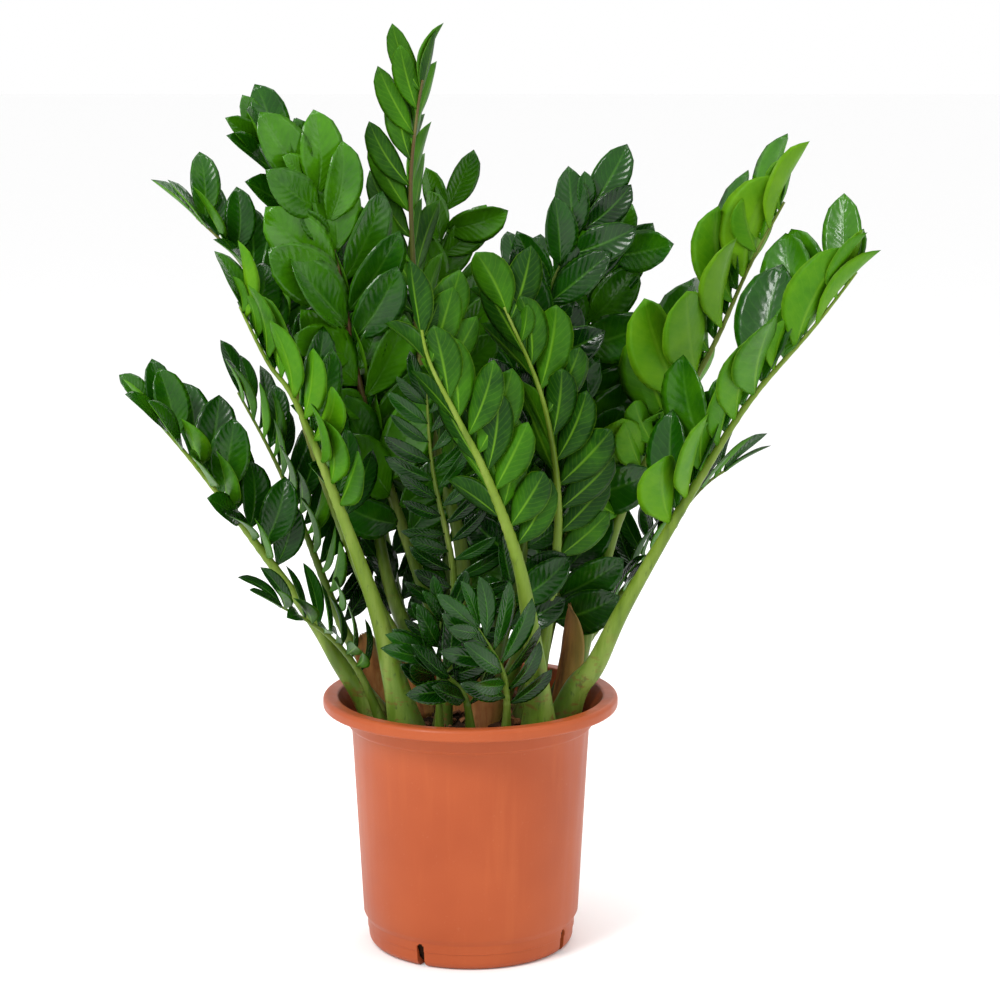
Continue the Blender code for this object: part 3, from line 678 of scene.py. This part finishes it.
# A leaflet's half width, as a share of its widest, and its half thickness, both along its length.
LEAF_OUTLINE = (
    (0.0, 0.07), (0.03, 0.09), (0.12, 0.42), (0.24, 0.76), (0.40, 0.97), (0.52, 1.0), (0.68, 0.93),
    (0.82, 0.70), (0.92, 0.38), (0.97, 0.14), (1.0, 0.0)
)
LEAF_THICKNESS = ((0.0, 0.0011), (0.10, 0.0008), (0.3, 0.0004), (1.0, 0.00025))


def curve_through(points, steps):
    """A smooth curve through points (Catmull-Rom), as points spaced evenly along its length."""
    ends = [2 * points[0] - points[1], *points, 2 * points[-1] - points[-2]]
    dense = []
    for p0, p1, p2, p3 in zip(ends, ends[1:], ends[2:], ends[3:]):
        for i in range(CURVE_STEPS):
            t = i / CURVE_STEPS
            square = (2 * p0 - 5 * p1 + 4 * p2 - p3) * t**2
            cube = (3 * p1 - p0 - 3 * p2 + p3) * t**3
            dense.append(0.5 * (2 * p1 + (p2 - p0) * t + square + cube))
    dense.append(points[-1].copy())
    lengths = [0.0]
    for a, b in zip(dense, dense[1:]):
        lengths.append(lengths[-1] + (b - a).length)
    even, at = [], 0
    for i in range(steps + 1):
        target = lengths[-1] * i / steps
        while at < len(dense) - 2 and lengths[at + 1] < target:
            at += 1
        share = (target - lengths[at]) / (lengths[at + 1] - lengths[at])
        even.append(dense[at].lerp(dense[at + 1], share))
    return even


class Stem:
    """A frond's stem, read at a share t of its length from foot to tip, as in the frame."""

    def __init__(self, frond):
        self.frond = frond
        foot = Vector((*frond.foot, SOIL_TOP))
        self.points = curve_through([foot] + [Vector(p) for p in frond.route], STEM_STEPS)
        self.length = sum((b - a).length for a, b in zip(self.points, self.points[1:]))
        bearing = math.radians(frond.facing_deg)
        self.up = Vector((math.cos(bearing), math.sin(bearing), FACE_LIFT)).normalized()

    def point(self, t):
        place = min(max(t, 0), 1) * STEM_STEPS
        i = min(int(place), STEM_STEPS - 1)
        return self.points[i].lerp(self.points[i + 1], place - i)

    def radius(self, t):
        swell = FOOT_SWELL * math.exp(-t / SWELL_LENGTH)
        taper = (1 - FOOT_SWELL) * (1 - t) ** STEM_TAPER
        return TIP_RADIUS + (self.frond.radius - TIP_RADIUS) * (taper + swell)

    def frame(self, t):
        along = (self.point(t + TANGENT_REACH) - self.point(t - TANGENT_REACH)).normalized()
        face = (self.up - along * self.up.dot(along)).normalized()
        return along, face, along.cross(face)


def leaflet_places(frond):
    """(t, rank) of each leaflet, foot to tip, right and left by turns, as in the frame."""
    count = 2 * frond.pairs
    step = (LAST_LEAFLET - frond.bare) / count
    return [(frond.bare + step * (i + 0.5), 1 if i % 2 == 0 else -1) for i in range(count)]


def leaflet_size(frond, t):
    share = (t - frond.bare) / (LAST_LEAFLET - frond.bare)
    bulge = LEAFLET_BULGE * math.sin(math.pi * min(share * 0.8 + 0.1, 1.0)) ** 0.8
    return LEAFLET_SCALE * frond.leaflet * (SHORTEST_LEAFLET + bulge)


class Leaflet:
    """One leaflet: where it sits, which way it grows, and how its blade curves."""

    def __init__(self, stem, t, rank, sway_deg, shrink, dice):
        frond = stem.frond
        along, face, side = stem.frame(t)
        share = (t - frond.bare) / (LAST_LEAFLET - frond.bare)
        first, last = frond.spread_deg
        fold = math.radians(frond.fold_deg + sway_deg[1] + dice["fold"])
        angle = math.radians(first + (last - first) * share + sway_deg[0] + dice["angle"])
        away = math.cos(fold) * rank * side + math.sin(fold) * face
        self.out = math.cos(angle) * along + math.sin(angle) * away
        across = math.sin(angle) * along - math.cos(angle) * away
        twist = math.radians(TWIST_DEG + dice["roll"]) * rank
        self.across = Matrix.Rotation(twist, 3, self.out) @ across
        self.normal = self.out.cross(self.across) * rank
        self.root = stem.point(t) + away * stem.radius(t) * ROOT_REACH
        self.length = leaflet_size(frond, t) * shrink * dice["size"]
        self.half_width = self.length * frond.slim * HALF_WIDTH * dice["width"]
        self.bend = dice["bend"]
        self.sweep = dice["sweep"]
        self.cup = dice["cup"]
        self.phase = dice["phase"]
        self.fresh = min(max(frond.fresh + dice["fresh"] + FRESHER_TOWARDS_TIP * share, 0.0), 1.0)
        self.rank = rank

    def centre_line(self, steps):
        """Points along the midrib with the axes there: (share, point, out, across, normal)."""
        rows = []
        point = self.root.copy()
        for i in range(steps + 1):
            share = i / steps
            lean = self.bend * (share - STRAIGHT_SHARE)
            turn = self.sweep * share
            out = self.out * math.cos(turn) + self.across * math.sin(turn)
            across = self.across * math.cos(turn) - self.out * math.sin(turn)
            forward = out * math.cos(lean) - self.normal * math.sin(lean)
            normal = self.normal * math.cos(lean) + out * math.sin(lean)
            rows.append((share, point.copy(), forward, across, normal))
            point += forward * self.length / steps
        return rows

    def surface(self, row, across_share):
        """A point of the blade's mid-surface."""
        share, point, _, across, normal = row
        width = self.half_width * blend_values(LEAF_OUTLINE, share)
        lift = self.cup * width * abs(across_share) ** CUP_POWER
        wave = math.sin(RIPPLE_WAVES * share + self.phase + 2 * across_share)
        ripple = RIPPLE_HEIGHT * width * wave * abs(across_share)
        return point + across * across_share * width + normal * (lift + ripple)

    def proxy(self):
        """A coarse blade for finding leaflets that would cross."""
        points, faces = [], []
        rows = self.centre_line(PROXY_STEPS)
        for row in rows[1:]:
            points.extend([self.surface(row, -1), self.surface(row, 0), self.surface(row, 1)])
        for i in range(len(rows) - 2):
            for j in range(2):
                a = 3 * i + j
                faces.append((a, a + 1, a + 4, a + 3))
        return points, faces

    def build(self, mesh):
        """Adds a thin closed blade, with a rib along its underside."""
        steps, half = LEAF_STEPS, LEAF_HALF_STEPS
        rows = self.centre_line(steps)
        tops, unders = [], []
        for i, row in enumerate(rows[:-1]):
            share, _, _, _, normal = row
            thick = blend_values(LEAF_THICKNESS, share)
            places = [j / half for j in range(-half, half + 1)]
            middle = [self.surface(row, place) for place in places]
            skin = [math.sqrt(max(1 - place**2, 0.0)) for place in places]
            rib = [RIB_HEIGHT * math.exp(-((place * RIB_SHARPNESS) ** 2)) * (1 - share) for place in places]
            top = [m + normal * thick * s for m, s in zip(middle, skin)]
            under = [m - normal * (thick * s + r) for m, s, r in zip(middle, skin, rib)]
            marks = [(share, place, self.fresh) for place in places]
            start = mesh.add_verts(top, marks)
            top_ids = [start + j for j in range(2 * half + 1)]
            start = mesh.add_verts(under[1:-1], marks[1:-1])
            under_ids = [top_ids[0]] + [start + j for j in range(2 * half - 1)] + [top_ids[-1]]
            tops.append(top_ids)
            unders.append(under_ids)
        tip = mesh.add_verts([rows[-1][1]], [(1.0, 0.0, self.fresh)])
        tops.append([tip] * (2 * half + 1))
        unders.append([tip] * (2 * half + 1))
        flip = self.rank > 0
        for i in range(steps):
            for j in range(2 * half):
                for rings, material, way in ((tops, UPPER, flip), (unders, UNDER, not flip)):
                    low, high = rings[i], rings[i + 1]
                    self.add_quad(mesh, (low[j], low[j + 1], high[j + 1], high[j]), material, way)
        self.add_quad(mesh, tops[0] + unders[0][-2:0:-1], UNDER, not flip)

    @staticmethod
    def add_quad(mesh, corners, material, flip):
        mesh.add_face(corners if flip else corners[::-1], material)


def roll_dice(chance, wild=1.0):
    """The small differences between one leaflet and the next."""
    return {
        "fold": chance.uniform(-10, 10) * wild,
        "angle": chance.uniform(-9, 9) * wild,
        "roll": chance.uniform(-16, 16) * wild,
        "size": chance.uniform(0.88, 1.08),
        "width": chance.uniform(0.86, 1.10),
        "bend": chance.uniform(0.05, 0.65),
        "sweep": chance.uniform(0.05, 0.50),
        "cup": chance.uniform(0.20, 0.42),
        "phase": chance.uniform(0, 2 * math.pi),
        "fresh": chance.uniform(-0.20, 0.20),
    }


class Crowd:
    """The stems and blades placed so far, which a new blade should miss."""

    def __init__(self):
        self.members = []

    @staticmethod
    def box(points):
        low = [min(p[i] for p in points) for i in range(3)]
        high = [max(p[i] for p in points) for i in range(3)]
        return low, high

    def add(self, points, faces):
        self.members.append((self.box(points), BVHTree.FromPolygons(points, faces)))

    def touches(self, points, faces):
        low, high = self.box(points)
        tree = BVHTree.FromPolygons(points, faces)
        for (other_low, other_high), other in self.members:
            if any(low[i] > other_high[i] or high[i] < other_low[i] for i in range(3)):
                continue
            if tree.overlap(other):
                return True
        return False


def crowd_stem(stem, crowd):
    """A coarse square tube for the stem."""
    rings = []
    for i in range(CROWD_STEPS + 1):
        t = i / CROWD_STEPS
        _, face, side = stem.frame(t)
        centre, radius = stem.point(t), stem.radius(t)
        rings.append([centre + radius * way for way in (side, face, -side, -face)])
    for low, high in zip(rings, rings[1:]):
        faces = [(i, (i + 1) % 4, 4 + (i + 1) % 4, 4 + i) for i in range(4)]
        crowd.add(low + high, faces)


def build_stem(stem, material):
    """The stem's skin: a slightly ridged tube, with small collars under the leaflets and a buried foot."""
    mesh = Mesh()
    frond = stem.frond
    collars = [t for t, _ in leaflet_places(frond)]
    rings = []
    steps = STEM_STEPS * 2
    for i in range(-BURIED_RINGS, steps + 1):
        t = STEM_END * max(i, 0) / steps
        along, face, side = stem.frame(t)
        centre = stem.point(t)
        if i < 0:
            centre = centre + Vector((0, 0, BURIED_STEP * i))
        near = min((abs(t - c) for c in collars), default=1.0) * stem.length
        collar = 1 + COLLAR_SWELL * math.exp(-((near / COLLAR_LENGTH) ** 2))
        points, marks = [], []
        for j in range(STEM_SIDES):
            angle = 2 * math.pi * j / STEM_SIDES
            wobble = 1 + 0.03 * math.sin(3 * angle + 5 * t) + 0.02 * math.sin(5 * angle)
            radius = stem.radius(t) * collar * wobble
            points.append(centre + radius * (math.cos(angle) * side + math.sin(angle) * face))
            marks.append((t, frond.tone, frond.brown))
        start = mesh.add_verts(points, marks)
        rings.append([start + j for j in range(STEM_SIDES)])
    for low, high in zip(rings, rings[1:]):
        for j in range(STEM_SIDES):
            k = (j + 1) % STEM_SIDES
            mesh.add_face((low[k], low[j], high[j], high[k]))
    mesh.add_face(rings[0])
    mesh.add_face(rings[-1][::-1])
    make_piece(
        "stem_" + frond.name, mesh.verts, mesh.faces, [material], (frond.name,),
        places=("stem_place", mesh.places)
    )


def build_leaflets(stem, number, crowd, materials):
    """All the leaflets of one frond, with a pair at the tip that closes the crown."""
    mesh = Mesh()
    chance = random.Random(FIRST_SEED + number)
    for t, rank in leaflet_places(stem.frond):
        dice = roll_dice(chance)
        leaflet = choose_leaflet(stem, t, rank, dice, crowd)
        crowd.add(*leaflet.proxy())
        leaflet.build(mesh)
    for rank in (1, -1):
        dice = roll_dice(chance, CROWN_WILDNESS)
        leaflet = choose_leaflet(stem, LAST_LEAFLET, rank, dice, crowd, CROWN_SWAYS_DEG)
        crowd.add(*leaflet.proxy())
        leaflet.build(mesh)
    name = stem.frond.name
    make_piece(
        "leaflets_" + name, mesh.verts, mesh.faces, materials, (name,), mesh.face_materials,
        ("leaf_place", mesh.places)
    )


def inside_box(points):
    """Whether the points stay within the frame's box and a small margin."""
    low, high = cad_box
    for i in range(3):
        margin = BOX_MARGIN * (high[i] - low[i])
        if min(p[i] for p in points) < low[i] - margin or max(p[i] for p in points) > high[i] + margin:
            return False
    return True


def choose_leaflet(stem, t, rank, dice, crowd, sways=SWAYS_DEG):
    """The first sway and size at which the leaflet crosses nothing and keeps to the box, or its smallest."""
    for shrink in SHRINKS:
        for sway in sways:
            leaflet = Leaflet(stem, t, rank, sway, shrink, dice)
            points, faces = leaflet.proxy()
            if inside_box(points) and not crowd.touches(points, faces):
                return leaflet
    return Leaflet(stem, t, rank, (0, 0), SHRINKS[-1], dice)


# Pot.

def arc(centre, radius, start_deg, end_deg, steps):
    """Points of an arc in the (radius, height) plane."""
    points = []
    for i in range(steps + 1):
        angle = math.radians(start_deg + (end_deg - start_deg) * i / steps)
        points.append((centre[0] + radius * math.cos(angle), centre[1] + radius * math.sin(angle)))
    return points


def turned(name, profile, sides, material):
    """A turned solid. Its profile starts and ends on the axis: up the outer side and down the inner one."""
    verts, faces, rings = [], [], []
    for radius, height in profile:
        start = len(verts)
        if radius < 1e-6:
            verts.append((0, 0, height))
            rings.append([start])
            continue
        for i in range(sides):
            angle = 2 * math.pi * i / sides
            verts.append((radius * math.cos(angle), radius * math.sin(angle), height))
        rings.append(list(range(start, start + sides)))
    for low, high in zip(rings, rings[1:]):
        for i in range(sides):
            j = (i + 1) % sides
            corners = [low[i % len(low)], low[j % len(low)], high[j % len(high)], high[i % len(high)]]
            faces.append(list(dict.fromkeys(corners)))
    mesh = bpy.data.meshes.new(name)
    mesh.from_pydata(verts, [], faces)
    mesh.materials.append(material)
    return add_object(name, mesh)


def build_pot(material):
    """The pot's shell. lip and edge round its rim, and dip is how far the rim's flat lies below its top."""
    lip_bottom = POT_HEIGHT - RIM_LIP
    band_bottom = lip_bottom - SHOULDER_BAND
    lip, edge, dip = 0.0045, 0.003, 0.0004
    inner_foot = FOOT_RADIUS + FOOT_CORNER * 0.4 - WALL
    profile = [(0, 0), (0.060, 0), (FOOT_RADIUS - 0.004, 0)]
    profile += arc((FOOT_RADIUS - 0.002, FOOT_CORNER), FOOT_CORNER, -80, 0, 8)
    profile += [(FOOT_BAND_RADIUS - 0.0009, FOOT_BAND_TOP * 0.62)]
    profile += [(FOOT_BAND_RADIUS - 0.0002, FOOT_BAND_TOP * 0.64)]
    profile += [(FOOT_BAND_RADIUS, FOOT_BAND_TOP - 0.001), (FOOT_BAND_RADIUS + 0.0004, FOOT_BAND_TOP)]
    profile += [(TAPER_RADIUS - 0.0008, TAPER_END - 0.0010), (TAPER_RADIUS, TAPER_END + 0.001)]
    for i in range(1, TAPER_STEPS):
        share = i / TAPER_STEPS
        height = TAPER_END + (band_bottom - 0.0035 - TAPER_END) * share
        profile.append((TAPER_RADIUS + (WAIST_RADIUS - 0.0006 - TAPER_RADIUS) * share, height))
    profile += [(WAIST_RADIUS - 0.0004, band_bottom - 0.003), (WAIST_RADIUS, band_bottom - 0.002)]
    profile += [(SHOULDER_RADIUS - 0.0008, band_bottom - 0.0006), (SHOULDER_RADIUS, band_bottom + 0.001)]
    profile += [(SHOULDER_RADIUS + 0.0002, lip_bottom - 0.0022)]
    profile += [(SHOULDER_RADIUS + 0.0016, lip_bottom - 0.0004)]
    profile += [(SHOULDER_RADIUS + 0.004, lip_bottom), (RIM_RADIUS - 0.004, lip_bottom)]
    profile += arc((RIM_RADIUS - edge, lip_bottom + edge), edge, -70, 0, 5)
    profile += arc((RIM_RADIUS - lip, POT_HEIGHT - lip), lip, 0, 90, 8)
    profile += [(RIM_RADIUS - 0.008, POT_HEIGHT - dip), (MOUTH_RADIUS + edge, POT_HEIGHT - dip)]
    profile += arc((MOUTH_RADIUS + edge, POT_HEIGHT - dip - edge), edge, 90, 180, 5)
    profile += [(SHOULDER_RADIUS + 0.0005 - WALL, lip_bottom - 0.004), (SHOULDER_RADIUS - WALL, band_bottom)]
    profile += [(WAIST_RADIUS - WALL, band_bottom - 0.004), (TAPER_RADIUS - WALL, TAPER_END + 0.001)]
    profile += [(inner_foot, FLOOR + 0.006), (inner_foot - 0.006, FLOOR), (0, FLOOR)]
    pot = turned("pot_shell", profile, POT_SIDES, material)
    for i in range(4):
        cut_drain_slot(pot, i)
    bpy.context.view_layer.update()
    graph = bpy.context.evaluated_depsgraph_get()
    mesh = bpy.data.meshes.new_from_object(pot.evaluated_get(graph))
    pot.modifiers.clear()
    pot.data = mesh
    for cutter in [o for o in bpy.data.objects if o.name.startswith("drain_cutter")]:
        bpy.data.objects.remove(cutter, do_unlink=True)
    pot.data.shade_smooth()
    pot.data.set_sharp_from_angle(angle=math.radians(SHARP_DEG))
    finish_piece(pot, ("nursery_pot",))


def cut_drain_slot(pot, index):
    """A rounded slot through the pot's lower corner."""
    angle = math.radians(FIRST_DRAIN_SLOT_DEG + 90 * index)
    height = DRAIN_SLOT_TOP + 0.004
    bm = bmesh.new()
    size = Matrix.Diagonal((DRAIN_SLOT_REACH, DRAIN_SLOT_WIDTH, height, 1))
    place = Matrix.Translation((FOOT_RADIUS, 0, DRAIN_SLOT_TOP - height / 2))
    bmesh.ops.create_cube(bm, size=1, matrix=Matrix.Rotation(angle, 4, "Z") @ place @ size)
    level = [e for e in bm.edges if abs((e.verts[0].co - e.verts[1].co).normalized().z) < 0.01]
    top = [e for e in level if min(v.co.z for v in e.verts) > DRAIN_SLOT_TOP - 0.001]
    bmesh.ops.bevel(bm, geom=top, offset=DRAIN_SLOT_ROUNDING, segments=3, affect="EDGES")
    cutter = add_object(f"drain_cutter_{index}", mesh_from(bm, "drain_cutter"))
    cutter.hide_render = True
    modifier = pot.modifiers.new("drain", "BOOLEAN")
    modifier.operation = "DIFFERENCE"
    modifier.object = cutter


# Soil.

def soil_height(x, y):
    """The lumpy surface of the soil."""
    reach = min(math.hypot(x, y) / SOIL_RADIUS, 1.0)
    height = SOIL_TOP + SOIL_CROWN * (1 - reach**2) - SOIL_EDGE_DROP * reach**8
    for waves, layer, lump in SOIL_LUMPS:
        height += noise.noise(Vector((x * waves, y * waves, layer))) * lump
    return height


def build_soil(material):
    rings, sides = SOIL_RINGS, SOIL_SIDES
    verts, faces = [(0, 0, soil_height(0, 0))], []
    for i in range(1, rings + 1):
        radius = (SOIL_RADIUS - 0.0004) * i / rings
        for j in range(sides):
            angle = 2 * math.pi * j / sides
            x, y = radius * math.cos(angle), radius * math.sin(angle)
            verts.append((x, y, soil_height(x, y)))
    low_start = len(verts)
    profile = [(SOIL_RADIUS - 0.003, SOIL_TOP - 0.03), (TAPER_RADIUS - 0.004, TAPER_END)]
    profile.append((FOOT_RADIUS - 0.004, SOIL_LOW.z))
    for radius, height in profile:
        for j in range(sides):
            angle = 2 * math.pi * j / sides
            verts.append((radius * math.cos(angle), radius * math.sin(angle), height))
    bottom = len(verts)
    verts.append((0, 0, SOIL_LOW.z))
    ring_starts = [1 + i * sides for i in range(rings)] + [low_start + i * sides for i in range(len(profile))]
    for j in range(sides):
        k = (j + 1) % sides
        faces.append((0, 1 + j, 1 + k))
        for a, b in zip(ring_starts, ring_starts[1:]):
            faces.append((a + j, b + j, b + k, a + k))
        faces.append((ring_starts[-1] + j, bottom, ring_starts[-1] + k))
    make_piece("soil_bed", verts, faces, [material], ("potting_soil",))


def build_bark(material):
    """Chips of bark and crumbs lying on the soil, one piece."""
    chance = random.Random(CHIP_SEED)
    bm = bmesh.new()
    for _ in range(CHIP_COUNT):
        reach = (SOIL_RADIUS - 0.006) * math.sqrt(chance.random())
        angle = chance.uniform(0, 2 * math.pi)
        x, y = reach * math.cos(angle), reach * math.sin(angle)
        size = chance.uniform(0.0018, 0.0058)
        size *= 1 if chance.random() < SMALL_CHIP_SHARE else LARGE_CHIP_SCALE
        squash = Matrix.Diagonal((size, size * chance.uniform(0.4, 0.9), size * chance.uniform(0.25, 0.6), 1))
        turn = Matrix.Rotation(chance.uniform(0, math.pi), 4, "Z")
        turn = turn @ Matrix.Rotation(chance.uniform(-0.4, 0.4), 4, "X")
        place = Matrix.Translation((x, y, soil_height(x, y) + size * 0.15))
        made = bmesh.ops.create_icosphere(bm, subdivisions=1, radius=1, matrix=place @ turn @ squash)
        for vert in made["verts"]:
            vert.co += Vector([chance.uniform(-1, 1) for _ in range(3)]) * size * CHIP_ROUGHNESS
    mesh = mesh_from(bm, "bark_chips")
    mesh.materials.append(material)
    finish_piece(add_object("bark_chips", mesh))


def build_tuber(name, material):
    """A potato-like tuber: a lumpy ellipsoid with faint rings."""
    low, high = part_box(name)
    centre, half = (low + high) / 2, (high - low) / 2
    bm = bmesh.new()
    bmesh.ops.create_icosphere(bm, subdivisions=4, radius=1)
    for vert in bm.verts:
        lump = 0.97 + 0.05 * noise.noise(vert.co * 1.8 + centre * 20)
        ring = 0.006 * math.sin(vert.co.z * 28)
        vert.co = centre + Vector([vert.co[i] * half[i] for i in range(3)]) * (lump + ring)
    mesh = mesh_from(bm, name + "_skin")
    mesh.materials.append(material)
    mesh.shade_smooth()
    finish_piece(add_object(name + "_skin", mesh), (name,))


def build_sheath(name, stem, height, facing_deg, wrap_deg, number, material):
    """A dry papery scale round the stem's foot: thin, closed, with a ragged pointed end that curls away."""
    rows, columns = SHEATH_ROWS, SHEATH_COLUMNS
    bearing = math.radians(facing_deg)
    middle = Vector((math.cos(bearing), math.sin(bearing), 0))
    inner, outer, marks = [], [], []
    for i in range(rows + 1):
        share = i / rows
        t = (height * share - 0.001) / stem.length
        along, _, _ = stem.frame(max(t, 0))
        out = (middle - along * middle.dot(along)).normalized()
        side = along.cross(out)
        half_arc = math.radians(wrap_deg) / 2 * math.sqrt(max(1 - share**2.2, 0.01))
        centre = stem.point(max(t, 0))
        if i == 0:
            centre = centre - Vector((0, 0, SHEATH_FOOT_DROP))
        for j in range(columns + 1):
            place = 2 * j / columns - 1
            angle = half_arc * place
            spoke = math.cos(angle) * out + math.sin(angle) * side
            crinkle = SHEATH_CRINKLE * noise.noise(Vector((place * 3, share * 5, number * 7.0)))
            curl = (0.12 * height + 0.003) * share**1.3 + 0.004 * abs(place) ** 3 * share
            near = stem.radius(max(t, 0)) + SHEATH_GAP + crinkle + curl
            ragged = along * SHEATH_RAGGED * share**3 * noise.noise(Vector((place * 9, number * 3.0, 2.0)))
            inner.append(centre + spoke * near + ragged)
            outer.append(centre + spoke * (near + SHEATH_THICKNESS) + ragged)
            marks.append((share, place, 0.0))
    verts = inner + outer
    wide, total = columns + 1, len(inner)
    faces = []
    for i in range(rows):
        for j in range(columns):
            a = i * wide + j
            faces.append((a, a + wide, a + wide + 1, a + 1))
            faces.append((total + a, total + a + 1, total + a + wide + 1, total + a + wide))
    for i in range(rows):
        a, b = i * wide, (i + 1) * wide
        faces.append((a, total + a, total + b, b))
        faces.append((a + columns, b + columns, total + b + columns, total + a + columns))
    for j in range(columns):
        a, b = j, rows * wide + j
        faces.append((a, a + 1, total + a + 1, total + a))
        faces.append((b, total + b, total + b + 1, b + 1))
    make_piece(
        name + "_paper", verts, faces, [material], (name,), places=("stem_place", marks + marks)
    )


# Room.

def build_room():
    """A plain pale floor, soft light from above and both sides, and a white surround."""
    bpy.ops.mesh.primitive_plane_add(size=FLOOR_SIZE, location=(0, 0, 0))
    floor = bpy.context.object
    floor.name = "floor"
    nodes = Nodes("floor_white")
    nodes.set(Base_Color=FLOOR_WHITE, Roughness=0.9, Specular_IOR_Level=0.1)
    floor.data.materials.append(nodes.material)
    world = bpy.data.worlds.new("studio")
    bpy.context.scene.world = world
    world.use_nodes = True
    background = world.node_tree.nodes["Background"]
    background.inputs[0].default_value = (1.0, 1.0, 1.0, 1.0)
    background.inputs[1].default_value = 1.0
    for name, (place, size, power) in LIGHTS.items():
        add_light(name, place, size, power)


def add_light(name, place, size, power):
    light = bpy.data.lights.new(name, "AREA")
    light.size = size
    light.energy = power
    obj = add_object(name, light)
    obj.location = place
    obj.rotation_euler = (LIT_POINT - Vector(place)).to_track_quat("-Z", "Y").to_euler()


def build_camera():
    camera = add_object("camera", bpy.data.cameras.new("camera"))
    camera.location = CAMERA_PLACE
    camera.rotation_euler = (math.radians(90 - CAMERA_DOWN_DEG), 0, 0)
    camera.data.sensor_width = SENSOR_MM
    camera.data.lens = LENS_MM
    bpy.context.scene.camera = camera


def main():
    build_camera()
    build_room()
    bpy.context.scene.view_settings.view_transform = "Standard"
    build_pot(pot_material())
    build_soil(soil_material())
    stems = [Stem(frond) for frond in FRONDS]
    by_name = {stem.frond.name: stem for stem in stems}
    build_bark(bark_material())
    tuber = tuber_material()
    for name in sorted(frame["nodes"]):
        if name.startswith("tuber"):
            build_tuber(name, tuber)
    sheath = sheath_material()
    for number, (name, (frond, height, facing, wrap)) in enumerate(SHEATHS.items()):
        build_sheath(name, by_name[frond], height, facing, wrap, number, sheath)
    top = leaf_material("leaf_top", **LEAF_TOP)
    under = leaf_material("leaf_under", **LEAF_UNDER)
    skin = stem_material()
    crowd = Crowd()
    for stem in stems:
        crowd_stem(stem, crowd)
    for number, stem in enumerate(stems):
        build_stem(stem, skin)
        build_leaflets(stem, number, crowd, [top, under])


main()
